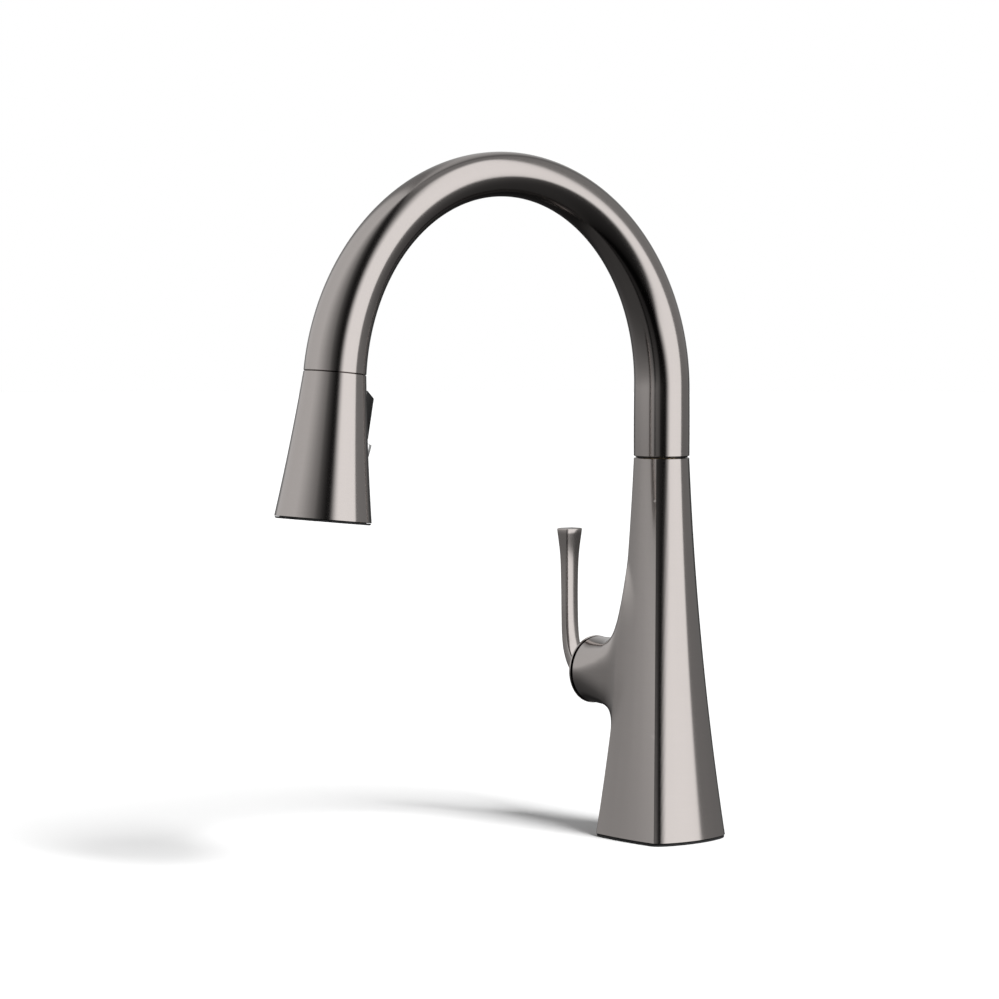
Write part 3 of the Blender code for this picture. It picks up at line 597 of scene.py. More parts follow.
def bodySize(x, y, z):
    rows, columns = outlineTable.shape
    row = np.clip((flareAt(z) + 0.04) / 1.12, 0, 0.9999) * (rows - 1)
    column = np.clip(np.arctan2(np.abs(y), np.abs(x)) / (pi / 2), 0, 0.9999) * (columns - 1)
    r, c = row.astype(int), column.astype(int)
    row, column = row - r, column - c
    low = outlineTable[r, c] * (1 - column) + outlineTable[r, c + 1] * column
    high = outlineTable[r + 1, c] * (1 - column) + outlineTable[r + 1, c + 1] * column
    return low * (1 - row) + high * row


def sizeRound(angles, z):
    return bodySize(np.cos(angles), np.sin(angles), np.full(len(angles), z))


def creaseAt(z):
    # the corner's crease at each height, in the first quarter
    rows = len(creaseTable)
    row = (flareAt(z) + 0.04) / 1.12 * (rows - 1)
    return np.stack([np.interp(row, np.arange(rows), creaseTable[:, axis]) for axis in (0, 1)], 1)


def bodyField(points, parts=False):
    # below 0 inside the body or its boss, which flow together
    x, y, z = points.T
    out = np.hypot(x, y)
    trunk = out - bodySize(x, y, z)
    share = np.clip((x - body["flareFrom"]) / (body["flareTo"] - body["flareFrom"]), 0, 1.25)
    rise = z - layout["bossZ"]
    grown = np.where(rise > 0, body["flareUp"][0] * share ** body["flareUp"][1],
                     body["flareDown"][0] * share ** body["flareDown"][1])
    tall = body["bossRadius"] + grown
    start, length, growth = body["squareFrom"]
    power = 2 + body["square"] * np.clip((x - start) / length, 0, 1) ** growth
    wide = body["bossRadius"]
    roundness = (np.abs(y / wide) ** power + np.abs(rise / tall) ** power + 1e-9) ** (1 / power)
    distance = np.hypot(y, rise) + 1e-9
    boss = distance * (1 - 1 / roundness)
    boss = np.where(x > 0, np.maximum(boss, x), boss)
    normal = np.stack([y / wide**2, rise / tall**2], 1)
    normal /= np.linalg.norm(normal, axis=1)[:, None] + 1e-9
    facing = normal[:, 0] * y / (out + 1e-9)
    blend = body["fillet"] * np.sqrt(np.clip(1 - facing**2, 0, 1)) + 0.01 * mm
    near = np.clip(1 - np.abs(trunk - boss) / blend, 0, 1)
    if parts:
        return trunk, near
    return np.minimum(trunk, boss) - near * near * blend / 4


def fieldSlope(points, step=0.02 * mm):
    slope = np.zeros_like(points)
    for axis in range(3):
        shift = np.zeros(3)
        shift[axis] = step
        slope[:, axis] = (bodyField(points + shift) - bodyField(points - shift)) / (2 * step)
    return slope


def settle(points, held=None, rounds=6):
    # moves points onto the surface; held marks an axis that a point keeps
    for _ in range(rounds):
        slope = fieldSlope(points)
        if held is not None:
            slope = np.where(held, 0, slope)
        size = (slope * slope).sum(1) + 1e-6
        move = bodyField(points)[:, None] * slope / size[:, None]
        length = np.linalg.norm(move, axis=1)[:, None]
        points = points - move * np.minimum(1, 1.5 * mm / (length + 1e-12))
    return points


def makeBody():
    # a rough form, remeshed evenly and then settled onto the exact surface
    heights = np.linspace(-4 * mm, 224 * mm, 70)
    angles = np.linspace(0, 2 * pi, 72, endpoint=False)
    rows = [ringAt(sizeRound(angles, z), angles, z) for z in heights]
    shell = sweptMesh("body_shell_fine", np.array(rows), capped=True)
    rows = []
    for x in np.linspace(-60 * mm, -6 * mm, 30):
        share = min(max((x - body["flareFrom"]) / (body["flareTo"] - body["flareFrom"]), 0), 1)
        up = body["bossRadius"] + body["flareUp"][0] * share ** body["flareUp"][1]
        down = body["bossRadius"] + body["flareDown"][0] * share ** body["flareDown"][1]
        tall = np.where(np.sin(angles) > 0, up, down)
        rows.append(np.stack([np.full(72, x), body["bossRadius"] * np.cos(angles),
                              layout["bossZ"] + tall * np.sin(angles)], 1))
    boss = mended(sweptMesh("boss", np.array(rows), capped=True))
    combined(mended(shell), boss, "UNION")
    remesh = shell.modifiers.new("even", "REMESH")
    remesh.mode = "VOXEL"
    remesh.voxel_size = body["voxel"]
    baked(shell)
    points = corners(shell)
    inside = (points[:, 2] > -2.5 * mm) & (points[:, 2] < 222 * mm) & (points[:, 0] > -58.5 * mm)
    points[inside] = settle(points[inside])
    shell.data.vertices.foreach_set("co", points.ravel())

    chamfer, wall = body["chamfer"], body["wall"]
    ends = [(2, body["foot"] + chamfer, -1), (2, body["neck"] - chamfer, 1),
            (0, body["bossEnd"] + chamfer, -1)]
    form = bmesh.new()
    form.from_mesh(shell.data)
    for axis, place, side in ends:
        spot, away = Vector((0, 0, 0)), Vector((0, 0, 0))
        spot[axis], away[axis] = place, side
        everything = form.verts[:] + form.edges[:] + form.faces[:]
        bmesh.ops.bisect_plane(form, geom=everything, dist=0.3 * mm, plane_co=spot, plane_no=away,
                               clear_outer=True)
    form.verts.ensure_lookup_table()
    form.verts.index_update()
    points = np.array([v.co for v in form.verts])
    held = np.zeros_like(points, bool)
    rims = [edge for edge in form.edges if edge.is_boundary]
    endOf = {}
    for edge in rims:
        for vert in edge.verts:
            axis, place, side = min(ends, key=lambda e: abs(vert.co[e[0]] - e[1]))
            points[vert.index, axis] = place
            held[vert.index, axis] = True
            endOf[vert.index] = (axis, place, side)
    points = settle(points, held)
    slope = fieldSlope(points, 1.2 * mm)
    slope /= np.linalg.norm(slope, axis=1)[:, None]
    inner = points - slope * wall
    # the corners' creases: the nearest points of the mesh move onto them
    spots = creaseAt(points[:, 2]) * np.where(points[:, :2] < 0, -1, 1)
    trunk, near = bodyField(points, parts=True)
    apart = np.linalg.norm(points[:, :2] - spots, axis=1)
    onCrease = (apart < 0.56 * body["voxel"]) & (near < 0.02) & (np.abs(trunk) < 0.3 * mm)
    points[onCrease, :2] = spots[onCrease]
    faces = []
    for face in form.faces:
        ring = [v.index for v in face.verts]
        marks = [onCrease[i] for i in ring]
        if len(ring) == 4 and marks in ([True, False, True, False], [False, True, False, True]):
            ring = ring if marks[0] else ring[1:] + ring[:1]
            faces += [(ring[0], ring[1], ring[2]), (ring[0], ring[2], ring[3])]
        else:
            faces.append(tuple(ring))
    count = len(points)
    faces += [tuple(i + count for i in face[::-1]) for face in faces]
    # each rim: a chamfer, then the flat end
    lip = {}
    extra = []
    for index, (axis, place, side) in endOf.items():
        middle = Vector((0, 0, 0)) if axis == 2 else Vector((0, 0, layout["bossZ"]))
        here = Vector(points[index])
        inwards = middle - here
        inwards[axis] = 0
        spot = here + inwards.normalized() * chamfer
        spot[axis] = place + side * chamfer
        lip[index] = 2 * count + len(extra)
        extra.append(spot)
        within = here + inwards.normalized() * wall
        within[axis] = place + side * chamfer
        inner[index] = within
    for edge in rims:
        loop = edge.link_loops[0]
        a, b = loop.vert.index, loop.link_loop_next.vert.index
        faces.append((b, a, lip[a], lip[b]))
        faces.append((lip[b], lip[a], a + count, b + count))
    form.free()
    everywhere = np.concatenate([points, inner, np.array(extra)])
    bpy.data.objects.remove(shell)
    shell = newPiece("body_shell_fine", everywhere, faces)
    smooth(shell, 34)
    sharp = valuesOf(shell.data.attributes["sharp_edge"].data, "value", bool)
    ends = valuesOf(shell.data.edges, "vertices", int, 2)
    outside = (ends < count).all(1)
    ends = np.minimum(ends, count - 1)
    along = np.abs(everywhere[ends[:, 0], 2] - everywhere[ends[:, 1], 2]) > 0.3 * mm
    sharp |= outside & onCrease[ends].all(1) & along
    shell.data.attributes["sharp_edge"].data.foreach_set("value", sharp)
    grainRound(shell, Matrix.Identity(4), 25 * mm)
    finishPiece(shell, "faucet_body", "titanium", "body_shell")


gasket = {"inset": 0.7 * mm, "bore": 16.6 * mm, "top": 1.25 * mm, "round": 0.35 * mm}


def makeGasket():
    angles = np.linspace(0, 2 * pi, 240, endpoint=False)
    size = sizeRound(angles, 0.0) - gasket["inset"]
    edge, top = gasket["round"], gasket["top"]
    outside = ((edge, 0), (0, edge), (0, top - edge), (edge, top))
    rows = [ringAt(size - cut, angles, z) for cut, z in outside]
    rows += [ringAt(gasket["bore"], angles, z) for z in (top, 0)]
    piece = smooth(mended(sweptMesh("base_gasket_fine", np.array(rows), joined=True)))
    finishPiece(piece, "faucet_body", "black_rubber", "base_gasket")


# Spout: a straight foot, then one arc, thinnest at its crown

spout = {
    "footRadius": 15.95 * mm,
    "crownRadius": 12.2 * mm,
    "tipRadius": 16.6 * mm,
    "crownShare": 0.58,
    "endSlopes": (-0.45, 0.86),  # how the radius leaves the foot and reaches the tip
    "wall": 1.3 * mm,
    "chamfer": 0.3 * mm,
    "tipGap": 0.16 * mm,
    "rows": 250,
    "around": 96,
}
spoutLength = layout["arcZ"] - layout["swivelZ"] + arcRadius * (pi - lean) + layout["tail"]


def hermite(share, slope):
    # a smooth rise from 0, level, to 1 with the given slope
    return 3 * share**2 - 2 * share**3 + slope * (share**3 - share**2)


def spoutRadius(along):
    crown, least = spout["crownShare"], spout["crownRadius"]
    atFoot, atTip = spout["endSlopes"]
    if along < crown:
        return least + (spout["footRadius"] - least) * hermite(1 - along / crown, atFoot)
    return least + (spout["tipRadius"] - least) * hermite((along - crown) / (1 - crown), atTip)


def spoutPlace(distance):
    # the centreline at a distance from the swivel, and the way out from the arc's centre
    straight = layout["arcZ"] - layout["swivelZ"]
    if distance <= straight:
        return Vector((0, 0, layout["swivelZ"] + distance)), Vector((0, 1, 0))
    angle = min((distance - straight) / arcRadius, pi - lean)
    tail = max(0, distance - straight - arcRadius * (pi - lean))
    outward = Vector((0, cos(angle), sin(angle)))
    return Vector((0, -arcRadius, layout["arcZ"])) + arcRadius * outward + tail * headAxis, outward


def tubeRow(place, outward, radius, count):
    side = Vector((1, 0, 0))
    return [place + radius * (cos(2 * pi * i / count) * side + sin(2 * pi * i / count) * outward)
            for i in range(count)]


def makeSpout():
    chamfer, wall = spout["chamfer"], spout["wall"]
    end = spoutLength - spout["tipGap"]
    stops = [(0, -chamfer)] + [(s, 0) for s in np.linspace(chamfer, end - chamfer, spout["rows"])]
    stops += [(end, -chamfer), (end, -wall)]
    stops += [(s, -wall) for s in np.linspace(end - 1 * mm, 1 * mm, 90)] + [(0, -wall)]
    rows, along, angle = [], [], []
    around = spout["around"]
    for distance, inset in stops:
        place, outward = spoutPlace(float(distance))
        rows.append(tubeRow(place, outward, float(spoutRadius(distance / spoutLength)) + inset, around))
        along += [distance] * around
        angle += [2 * pi * i / around for i in range(around)]
    tube = sweptMesh("spout_tube_fine", np.array(rows), joined=True)
    layGrain(tube, np.array(along), np.array(angle), 14 * mm)
    smooth(tube, 30)
    finishPiece(tube, "spout", "titanium", "spout_tube")


# Spray head

head = {
    "topRadius": 16.55 * mm,
    "flare": (7.2 * mm, 2.06 * mm),
    "length": 78.2 * mm,
    "wall": 1.8 * mm,
    "top": -0.16 * mm,
    "end": -77.2 * mm,
    "chamfer": 0.22 * mm,
    "window": (8.3 * mm, -6 * mm, -45.7 * mm),  # half width, top, bottom
    "windowRound": 2.2 * mm,
}


def headRadius(height):
    share = -height / head["length"]
    return head["topRadius"] + head["flare"][0] * share + head["flare"][1] * share * share


def makeHeadShell():
    chamfer, wall, top, end = head["chamfer"], head["wall"], head["top"], head["end"]
    profile = [(headRadius(top) - chamfer, top)]
    profile += [(headRadius(z), z) for z in np.linspace(top - chamfer, end + chamfer, 60)]
    profile += [(headRadius(end) - chamfer, end)]
    profile += [(headRadius(z) - wall, z) for z in np.linspace(end, top, 30)]
    shell = lathe("head_shell_fine", profile, 144, headFrame)
    half, high, low = head["window"]
    combined(shell, windowPiece(half, low, high, head["windowRound"]), "DIFFERENCE")
    grainRound(shell, headFrame, 20 * mm)
    smooth(shell, 30)
    finishPiece(shell, "spray_head", "titanium", "head_shell")


def windowPiece(half, low, high, width, inner=5 * mm):
    # a box through the head's back, its corners rounded, that cuts or limits other pieces
    piece = boxPiece("window", (-half, inner, low), (half, 40 * mm, high))
    form = bmesh.new()
    form.from_mesh(piece.data)
    along = [e for e in form.edges if abs((e.verts[0].co - e.verts[1].co).normalized().y) > 0.9]
    bmesh.ops.bevel(form, geom=along, offset=width, segments=6, profile=0.5, affect="EDGES")
    form.to_mesh(piece.data)
    form.free()
    piece.data.transform(headFrame)
    return piece


buttons = {
    "bezelProud": 0.4 * mm,
    "bezel": (7.9 * mm, -6.4 * mm, -45.3 * mm),
    "bezelRound": 1.9 * mm,
    "bezelDepth": 6 * mm,
    "holes": [(-33.8 * mm, -7.3 * mm), (-44.5 * mm, -34.8 * mm)],  # bottom and top
    "holeRound": 0.8 * mm,
    "halfWidth": 6.3 * mm,
    "gap": 0.4 * mm,
    "pinZ": -21 * mm,
    "pin": (1.3 * mm, 9 * mm, 2.8 * mm),  # radius, reach each way, and depth below the shell
    "pushZ": -40 * mm,
    "plunger": [(1.6, 13.3), (1.3, 13), (0, 13)],  # radius and distance from the head's axis
    "plungerDepth": 3 * mm,
    "rocker": [(-7.7, 0.7), (-11.4, 5), (-33.3, 0.9)],  # height, and how far out of the shell
    "rockerBack": [(-33.3, -3.4), (-21, -5), (-7.7, -3.4)],
    "push": [(-35.3, 0.6), (-36.1, 3.4), (-44, 0.6)],
    "pushBack": [(-44, -3.5), (-35.3, -3.5)],
    "soft": 0.45 * mm,
}


def makeBezel():
    proud = buttons["bezelProud"]
    high, low = -5 * mm, -48 * mm
    profile = [(headRadius(z) + proud, z) for z in np.linspace(high, low, 24)]
    profile += [(headRadius(z) - buttons["bezelDepth"], z) for z in np.linspace(low, high, 8)]
    bezel = lathe("button_bezel_fine", profile, 180, headFrame)
    half, top, bottom = buttons["bezel"]
    combined(bezel, windowPiece(half, bottom, top, buttons["bezelRound"]), "INTERSECT")
    side = buttons["halfWidth"] + buttons["gap"]
    for low, high in buttons["holes"]:
        combined(bezel, windowPiece(side, low, high, buttons["holeRound"], 2 * mm), "DIFFERENCE")
    combined(bezel, pinCutter(), "DIFFERENCE")
    smooth(bezel, 25)
    finishPiece(bezel, "spray_head", "chrome", "button_bezel")


def pinCutter():
    radius, reach, depth = buttons["pin"]
    at = headFrame @ Matrix.Translation((0, headRadius(buttons["pinZ"]) - depth, buttons["pinZ"]))
    turn = at @ Matrix.Rotation(pi / 2, 4, "Y")
    return lathe("pin", [(0, reach), (radius, reach), (radius, -reach), (0, -reach)], 24, turn)


def sideForm(name, front, back, half):
    # a side outline of (height, out of the shell), as wide as the button
    outline = [(headRadius(z * mm) + out * mm, z * mm) for z, out in front + back]
    rows = [[(x, y, z) for y, z in outline] for x in (-half, half)]
    piece = mended(sweptMesh(name, np.array(rows), capped=True))
    bevelled(piece, buttons["soft"], 3)
    return piece


def makeButtons():
    rocker = sideForm("rocker_button_fine", buttons["rocker"], buttons["rockerBack"], buttons["halfWidth"])
    rocker.data.transform(headFrame)
    combined(rocker, pinCutter(), "DIFFERENCE")
    smooth(rocker, 30)
    finishPiece(rocker, "rocker", "black_plastic", "rocker_button")
    push = sideForm("push_button_fine", buttons["push"], buttons["pushBack"], buttons["halfWidth"])
    inner = headRadius(buttons["pushZ"]) - buttons["plungerDepth"]
    outline = inMillimetres(buttons["plunger"])
    inwards = Matrix.Translation((0, 0, buttons["pushZ"])) @ Matrix.Rotation(-pi / 2, 4, "X")
    stem = lathe("plunger", [(0, inner), (outline[0][0], inner)] + outline, 32, inwards)
    combined(push, stem, "UNION")
    push.data.transform(headFrame)
    smooth(push, 30)
    finishPiece(push, "push", "chrome", "push_button")


# Lever: a thin domed cap with a J-shaped arm

lever = {
    "domeOuter": 31.2 * mm,
    "domeInner": 29.4 * mm,
    "rimRadius": 19.8 * mm,
    "spread": 0.687,  # the dome's reach off its axis
    "innerSpread": 0.675,
    # up, out beyond the seam, thickness, width, slope in degrees
    "path": [(-2.7, 7.9, 10.5, 12.4, 86), (-2, 11, 9.5, 12, 72), (0.6, 15.3, 7.8, 11.2, 52),
             (5.6, 19.3, 6.7, 10.7, 30), (12.3, 22.1, 6, 10.3, 14), (20.8, 23.4, 5.7, 10, 5),
             (33, 23.9, 5.6, 9.9, 1), (50, 24.1, 6, 9.8, 0), (66, 24.1, 7, 10.4, 0),
             (81, 24.1, 10.2, 12.4, 0)],
    "between": 6,
    "nick": 0.9 * mm,
    "bow": 0.55 * mm,  # how far its inner and outer faces stand out
    "dome": 0.8 * mm,  # how far its end stands up in the middle
    "socket": [(0, 38.2), (3.8, 38.2), (3.8, 26), (0, 26)],  # radius and height on the stem's axis
    "screwOut": 33.5 * mm,
    "screwHole": [(0, -3.5), (2.4, -3.5), (2.4, -12), (0, -12)],
    "grainMiddle": 45 * mm,
}


def catmull(rows, between):
    rows = [np.array(row, float) for row in rows]
    ends = [2 * rows[0] - rows[1]] + rows + [2 * rows[-1] - rows[-2]]
    found = []
    for a, b, c, d in zip(ends, ends[1:], ends[2:], ends[3:]):
        for i in range(between):
            t = i / between
            bend, twist = 2 * a - 5 * b + 4 * c - d, 3 * b - a - 3 * c + d
            found.append((2 * b + (c - a) * t + bend * t * t + twist * t**3) / 2)
    return found + [rows[-1]]


def leverRow(up, out, thick, wide, slope, nick, bow):
    # a squared section whose broad faces are bowed and whose edges are rounded
    edge = thick / 2 - bow
    outline = [(-edge, -wide / 2), (edge, -wide / 2)]
    outline += [(edge + bow * (1 - t * t), t * wide / 2) for t in (-0.6, -0.2, 0.2, 0.6)]
    outline += [(edge, wide / 2), (-edge, wide / 2)]
    outline += [(-edge - bow * (1 - t * t), t * wide / 2) for t in (0.6, 0.2, -0.2, -0.6)]
    section = []
    for i, corner in enumerate(outline):
        square = abs(corner[0]) == edge and abs(corner[1]) == wide / 2
        section += roundCorner(outline, i, nick, 4, 1) if square else [corner]
    lift = layout["seamOut"] + out
    return [(up - across * sin(slope), side, lift + across * cos(slope)) for across, side in section]


def makeLever():
    big, small = lever["domeOuter"], lever["domeInner"]
    outer = [(big * sin(t), big * cos(t)) for t in np.linspace(0, lever["spread"], 24)]
    inner = [(small * sin(t), small * cos(t)) for t in np.linspace(lever["innerSpread"], 0, 24)]
    outer[0], inner[-1] = (0, big), (0, small)
    band = [(lever["rimRadius"], outer[-1][1] - 0.15 * mm), (lever["rimRadius"], inner[0][1] + 0.2 * mm),
            (lever["rimRadius"] - 0.25 * mm, inner[0][1])]
    cap = lathe("lever_handle_fine", outer + band + inner, 128, valveFrame)
    rows = []
    steps = catmull(lever["path"], lever["between"])
    nick, bow = lever["nick"], lever["bow"]
    for up, out, thick, wide, slope in steps:
        rows.append(leverRow(up * mm, out * mm, thick * mm, wide * mm, radians(slope), nick, bow))
    up, out, thick, wide, slope = steps[-1]
    for t in (0.3, 0.6, 0.85, 1.0):  # the slightly domed end
        cut = (1 - sqrt(1 - 0.75 * t * t)) * 2.4
        size = (thick - cut) * mm, (wide - cut) * mm
        rows.append(leverRow(up * mm + lever["dome"] * t, out * mm, *size, 0, nick * (1 - 0.5 * t), bow))
    arm = sweptMesh("arm", np.array(rows), capped=True)
    arm.data.transform(valveFrame)
    mended(arm)
    combined(cap, arm, "UNION")
    socket = lathe("socket", inMillimetres(lever["socket"]), 32, valveFrame)
    combined(cap, socket, "DIFFERENCE")
    screwFrame = valveFrame @ Matrix.Translation((0, 0, lever["screwOut"]))
    screwFrame = screwFrame @ Matrix.Rotation(pi / 2, 4, "Y")
    combined(cap, lathe("hole", inMillimetres(lever["screwHole"]), 24, screwFrame), "DIFFERENCE")
    local = corners(cap, valveFrame)
    layGrain(cap, local[:, 0], np.arctan2(local[:, 1], local[:, 2] - lever["grainMiddle"]), 6 * mm)
    smooth(cap, 28)
    finishPiece(cap, "handle", "titanium", "lever_handle")


# Spray face: a black rim and disc, soft nozzles in rings, and the aerator in the middle

face = {
    "rings": [(12.2 * mm, 18), (15 * mm, 22), (17.8 * mm, 28)],  # radius and nozzles
    "nozzleRadius": 0.75 * mm,
    "nozzleLength": 0.9 * mm,
    "seed": 7,
    "tipZ": -77.55 * mm,  # the nozzles' lower ends
    # outlines as radius and height in millimetres
    "disc": [(9.9, -73.9), (9.9, -77), (10.3, -77.4), (11, -77.4), (11.2, -77.05), (19, -77.05),
             (19.2, -77.4), (19.8, -77.4), (20.2, -77), (20.2, -73.9)],
    "discRound": 0.15 * mm,
    "rim": [(22.3, -71.8), (22.9, -77.45), (25.45, -77.45), (25.2, -78.1), (24.7, -78.4), (21, -78.4),
            (20.6, -78), (20.6, -71.8)],
    "rimRound": 0.2 * mm,
    "aerator": [(0, -71.8), (9.4, -71.8), (9.4, -77.4), (9, -77.8), (8.4, -77.8), (8.2, -77.5),
                (8.2, -76.2), (6.4, -76.2), (6.2, -76.6), (5.8, -76.6), (5.6, -76.2), (3.6, -76.2),
                (3.4, -76.6), (3, -76.6), (2.8, -76.2), (0, -76.2)],
}


def nozzleTree(material):
    # one ring of nozzles: a circle's points, each with a small tapered tip
    tree = bpy.data.node_groups.new("nozzleRing", "GeometryNodeTree")
    for name, kind, value in (("Radius", "NodeSocketFloat", 0.01), ("Count", "NodeSocketInt", 12),
                              ("Tip Radius", "NodeSocketFloat", 0.001),
                              ("Tip Length", "NodeSocketFloat", 0.001), ("Seed", "NodeSocketInt", 7)):
        socket = tree.interface.new_socket(name, in_out="INPUT", socket_type=kind)
        socket.default_value = value
    tree.interface.new_socket("Geometry", in_out="OUTPUT", socket_type="NodeSocketGeometry")
    given = tree.nodes.new("NodeGroupInput")
    result = tree.nodes.new("NodeGroupOutput")
    circle = tree.nodes.new("GeometryNodeMeshCircle")
    link(tree, given.outputs["Count"], circle.inputs["Vertices"])
    link(tree, given.outputs["Radius"], circle.inputs["Radius"])
    tip = tree.nodes.new("GeometryNodeMeshCone")
    tip.inputs["Vertices"].default_value = 12
    tip.inputs["Side Segments"].default_value = 2
    link(tree, given.outputs["Tip Radius"], tip.inputs["Radius Bottom"])
    narrow = mathNode(tree, "MULTIPLY", given.outputs["Tip Radius"], 0.72)
    link(tree, narrow, tip.inputs["Radius Top"])
    link(tree, given.outputs["Tip Length"], tip.inputs["Depth"])
    chance = tree.nodes.new("FunctionNodeRandomValue")
    chance.inputs[2].default_value = 0.97
    chance.inputs[3].default_value = 1.03
    link(tree, given.outputs["Seed"], chance.inputs["Seed"])
    spread = tree.nodes.new("GeometryNodeInstanceOnPoints")
    link(tree, circle.outputs["Mesh"], spread.inputs["Points"])
    link(tree, tip.outputs["Mesh"], spread.inputs["Instance"])
    link(tree, chance.outputs[1], spread.inputs["Scale"])
    real = tree.nodes.new("GeometryNodeRealizeInstances")
    link(tree, spread.outputs["Instances"], real.inputs["Geometry"])
    painted = tree.nodes.new("GeometryNodeSetMaterial")
    painted.inputs["Material"].default_value = material
    link(tree, real.outputs["Geometry"], painted.inputs["Geometry"])
    link(tree, painted.outputs["Geometry"], result.inputs["Geometry"])
    return tree


def makeNozzles():
    tree = nozzleTree(materials["grey_silicone"])
    names = {item.name: item.identifier for item in tree.interface.items_tree if item.in_out == "INPUT"}
    form = bmesh.new()
    for radius, count in face["rings"]:
        ring = newPiece("ring", [(0, 0, 0)], [])
        step = ring.modifiers.new("nozzles", "NODES")
        step.node_group = tree
        values = {"Radius": radius, "Count": count, "Tip Radius": face["nozzleRadius"],
                  "Tip Length": face["nozzleLength"], "Seed": face["seed"]}
        for name, value in values.items():
            step[names[name]] = value
        baked(ring)
        form.from_mesh(ring.data)
        bpy.data.objects.remove(ring)
    mesh = bpy.data.meshes.new("nozzle_tips")
    form.to_mesh(mesh)
    form.free()
    flip = Matrix.Translation((0, 0, face["tipZ"])) @ Matrix.Rotation(pi, 4, "X")
    mesh.transform(headFrame @ flip)
    tips = mended(placed("nozzle_tips", mesh))
    smooth(tips, 35)
    finishPiece(tips, "spray_head", "grey_silicone")


def makeFace():
    disc = rounded(inMillimetres(face["disc"]), face["discRound"])[::-1]
    disc = lathe("spray_face_fine", disc, 128, headFrame)
    finishPiece(smooth(disc), "spray_head", "black_plastic", "spray_face")
    rim = rounded(inMillimetres(face["rim"]), face["rimRound"])[::-1]
    rim = lathe("face_ring_fine", rim, 144, headFrame)
    finishPiece(smooth(rim), "spray_head", "black_rubber", "face_ring")
    aerator = lathe("aerator_fine", inMillimetres(face["aerator"]), 96, headFrame)
    finishPiece(smooth(aerator), "spray_head", "white_plastic", "aerator")


# Under the deck: the threaded shank


shank = {
    "outer": 16 * mm,
    "low": -62 * mm,
    "high": 7.5 * mm,
    "threadTop": -1 * mm,
    "pitch": 2 * mm,
    "depth": 0.7 * mm,
    "lead": 0.8 * mm,  # how much narrower its lower end is
    # the flange and the bore, as radius and height in millimetres
    "flange": [(19.6, 7.5), (20, 7.9), (20, 10.6), (19.6, 11), (13.6, 11), (13.2, 10.6), (13.2, -61.6),
               (13.6, -62)],
    "around": 48,
}


def makeShank():
    pitch, low, high, around = shank["pitch"], shank["low"], shank["high"], shank["around"]
    turns = np.arange(around) / around
    angles = 2 * pi * turns
    rows = []
    for z in np.linspace(low, high, int((high - low) / pitch * 6) + 1):
        wave = np.abs(((z / pitch - turns) % 1) * 2 - 1)
        fade = min(1, (z - low) / pitch, max(0, (shank["threadTop"] - z) / pitch))
        size = shank["outer"] - shank["depth"] * wave * fade - (shank["lead"] if z == low else 0)
        rows.append(ringAt(size, angles, z))
    rows += [ringAt(radius, angles, z) for radius, z in inMillimetres(shank["flange"])]
    piece = smooth(mended(sweptMesh("mounting_shank_fine", np.array(rows), joined=True)), 40)
    finishPiece(piece, "faucet_body", "brass", "mounting_shank")


# Hose: woven sleeve, from the tail below the deck up to the spray head's dock

hose = {
    "radius": 4 * mm,
    "weave": (1.15 * mm, 18),  # one strand's rise, and strands round
    "relief": 0.12 * mm,
    "roughness": (0.42, 0.62),
    "lowerPath": [(7, -58), (7, -20), (7, 10), (8.2, 34), (10.3, 56), (11.2, 76), (11.2, 104),
                  (9.8, 126), (6.3, 148), (2.6, 168), (0.6, 186), (0, 203), (0, 221.8)],
    "from": 2.6 * mm,  # above the swivel
    "rest": 40 * mm,  # above the dock, where it starts to draw out
    "held": 34 * mm,  # above the dock, where the fitting holds it
    "upperEnd": 42 * mm,  # above the dock, where the length inside the spout ends
    "drawnFrom": 41.8 * mm,  # above the dock, where the length that draws out begins
    "offset": (40 * mm, 100 * mm),  # above the dock: straight up to the first, centred by the second
    "drawn": 450 * mm,
    "drawnRings": 300,
    "around": 20,
}


def wovenMaterial():
    # two sets of strands that cross over, laid out by the map along the hose
    look = finishes["hose_braid"]
    material, tree, shader = principled("woven", 0)
    lay = tree.nodes.new("ShaderNodeUVMap")
    lay.uv_map = "hoseMap"
    apart = tree.nodes.new("ShaderNodeSeparateXYZ")
    link(tree, lay.outputs[0], apart.inputs[0])
    rise, strands = hose["weave"]
    along = mathNode(tree, "DIVIDE", apart.outputs[0], rise)
    around = mathNode(tree, "MULTIPLY", apart.outputs[1], strands)
    waves = []
    for operation in ("ADD", "SUBTRACT"):
        turn = mathNode(tree, "MULTIPLY", mathNode(tree, operation, along, around), pi)
        waves.append(mathNode(tree, "ABSOLUTE", mathNode(tree, "SINE", turn)))
    weave = mathNode(tree, "MAXIMUM", *waves)
    noise = noiseNode(tree, lay.outputs[0], (700, 40, 1), 3)
    both = mathNode(tree, "MULTIPLY_ADD", noise, 0.35, mathNode(tree, "MULTIPLY", weave, 0.65))
    dark = tuple(channel * 0.35 for channel in look["colour"])
    light = tuple(channel * 1.5 for channel in look["colour"])
    link(tree, rampNode(tree, both, [(0.35, dark), (0.85, light)]), shader.inputs["Base Color"])
    link(tree, rangeNode(tree, noise, 0, 1, *hose["roughness"]), shader.inputs["Roughness"])
    relief = tree.nodes.new("ShaderNodeBump")
    relief.inputs["Distance"].default_value = hose["relief"]
    link(tree, weave, relief.inputs["Height"])
    link(tree, relief.outputs[0], shader.inputs["Normal"])
    shader.inputs["Sheen Weight"].default_value = 0.15
    return material


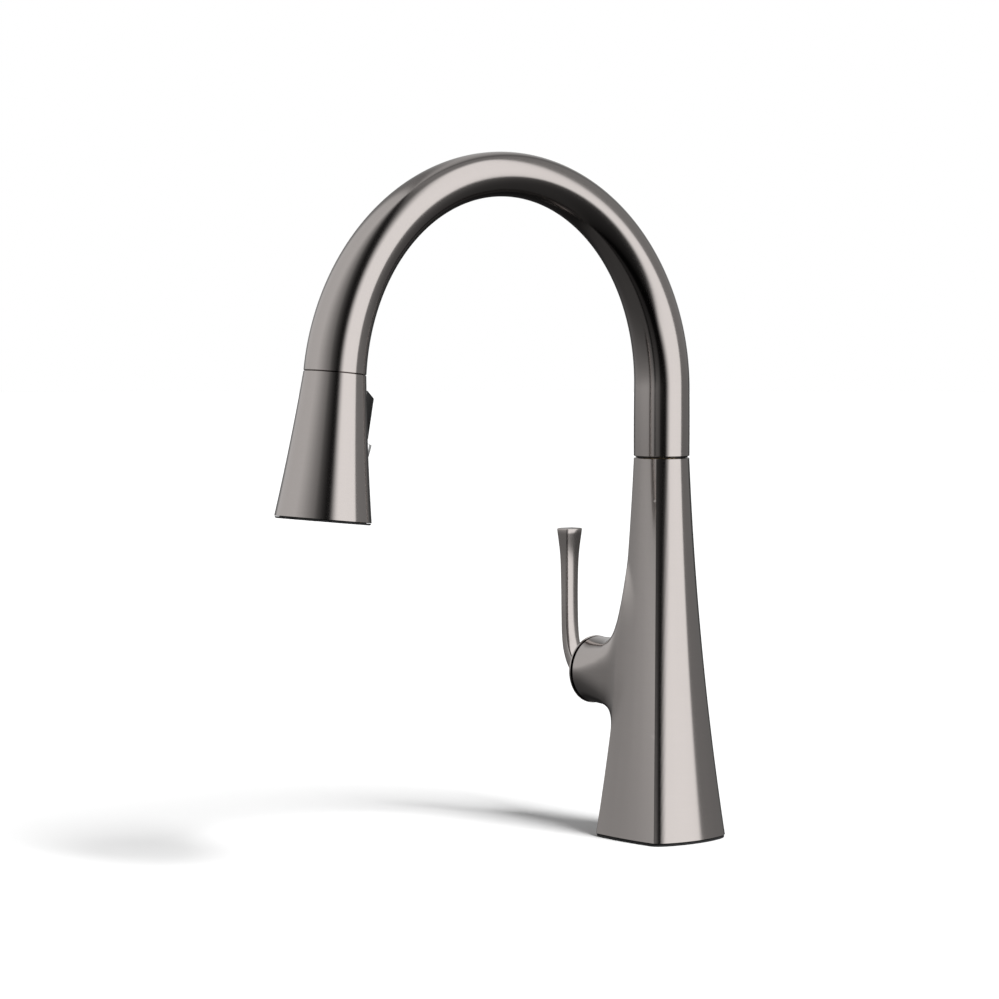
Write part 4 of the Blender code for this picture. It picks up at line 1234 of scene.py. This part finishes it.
def hoseTube(name, rows, distances):
    # a closed tube with a map that runs along it
    around = hose["around"]
    tube = mended(sweptMesh(name, np.array(rows), capped=True))
    turns = np.tile(np.arange(around) / around, len(rows))
    layMap(tube.data, "hoseMap", np.repeat(distances, around), turns, 1, 1)
    smooth(tube, 40)
    return tube


def hoseOffset(above):
    # the hose leaves the tube's centreline above the dock, then comes back to it
    knee, home = hose["offset"]
    if above <= knee:
        return above * above / (2 * arcRadius)
    peak, slope = knee * knee / (2 * arcRadius), knee / arcRadius
    t = min((above - knee) / (home - knee), 1)
    reach = home - knee
    return peak * (2 * t**3 - 3 * t * t + 1) + slope * reach * (t**3 - 2 * t * t + t)


def lowerHose():
    places = [Vector((x * mm, 0, z * mm)) for x, z in catmull(hose["lowerPath"], 8)]
    around, rows, distances, gone = hose["around"], [], [], 0
    for i, place in enumerate(places):
        onward = (places[min(i + 1, len(places) - 1)] - places[max(i - 1, 0)]).normalized()
        gone += (place - places[max(i - 1, 0)]).length
        distances.append(gone)
        side, front = Vector((onward.z, 0, -onward.x)), Vector((0, 1, 0))
        turns = [2 * pi * k / around for k in range(around)]
        rows.append([place + hose["radius"] * (cos(turn) * side + sin(turn) * front) for turn in turns])
    return hoseTube("hose_lower_fine", rows, distances)


def upperHose():
    # inside the spout, up to where the hose starts to draw out
    rows, distances = [], np.linspace(hose["from"], spoutLength - hose["upperEnd"], 110)
    for distance in distances:
        place, outward = spoutPlace(float(distance))
        place = place + outward * hoseOffset(spoutLength - distance)
        rows.append(tubeRow(place, outward, hose["radius"], hose["around"]))
    return hoseTube("hose_upper_fine", rows, distances)


def drawnHose():
    # the part that draws out: its rings are spaced so that they spread evenly
    start, across = dock - headAxis * hose["rest"], Vector((0, -headAxis.z, headAxis.y))
    lead = hose["drawnFrom"] - hose["rest"]
    rows = [tubeRow(start - headAxis * lead, -across, hose["radius"], hose["around"])]
    distances = [-lead]
    for i in range(hose["drawnRings"] + 1):
        share = i / hose["drawnRings"]
        gone = 0.5 - sin(asin(1 - 2 * share) / 3)
        place = start + headAxis * (hose["rest"] - hose["held"]) * gone
        rows.append(tubeRow(place, -across, hose["radius"], hose["around"]))
        distances.append(share * hose["drawn"])
    return hoseTube("hose_drawn_fine", rows, distances)


def makeHoses():
    woven = wovenMaterial()
    finishPiece(lowerHose(), "faucet_body", "hose_braid", "hose_lower", material=woven)
    finishPiece(upperHose(), "spout", "hose_braid", "hose_upper", material=woven)
    drawn = drawnHose()
    drawn.data.materials.append(woven)
    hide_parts("hose_upper")
    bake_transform(drawn)
    print(drawn.name, len(drawn.data.polygons), "faces, from spout to hose_end")


makeStudio()
makeFloor()
dressFrame()
makeBody()
makeGasket()
makeSpout()
makeHeadShell()
makeBezel()
makeButtons()
makeLever()
makeFace()
makeNozzles()
makeShank()
makeHoses()
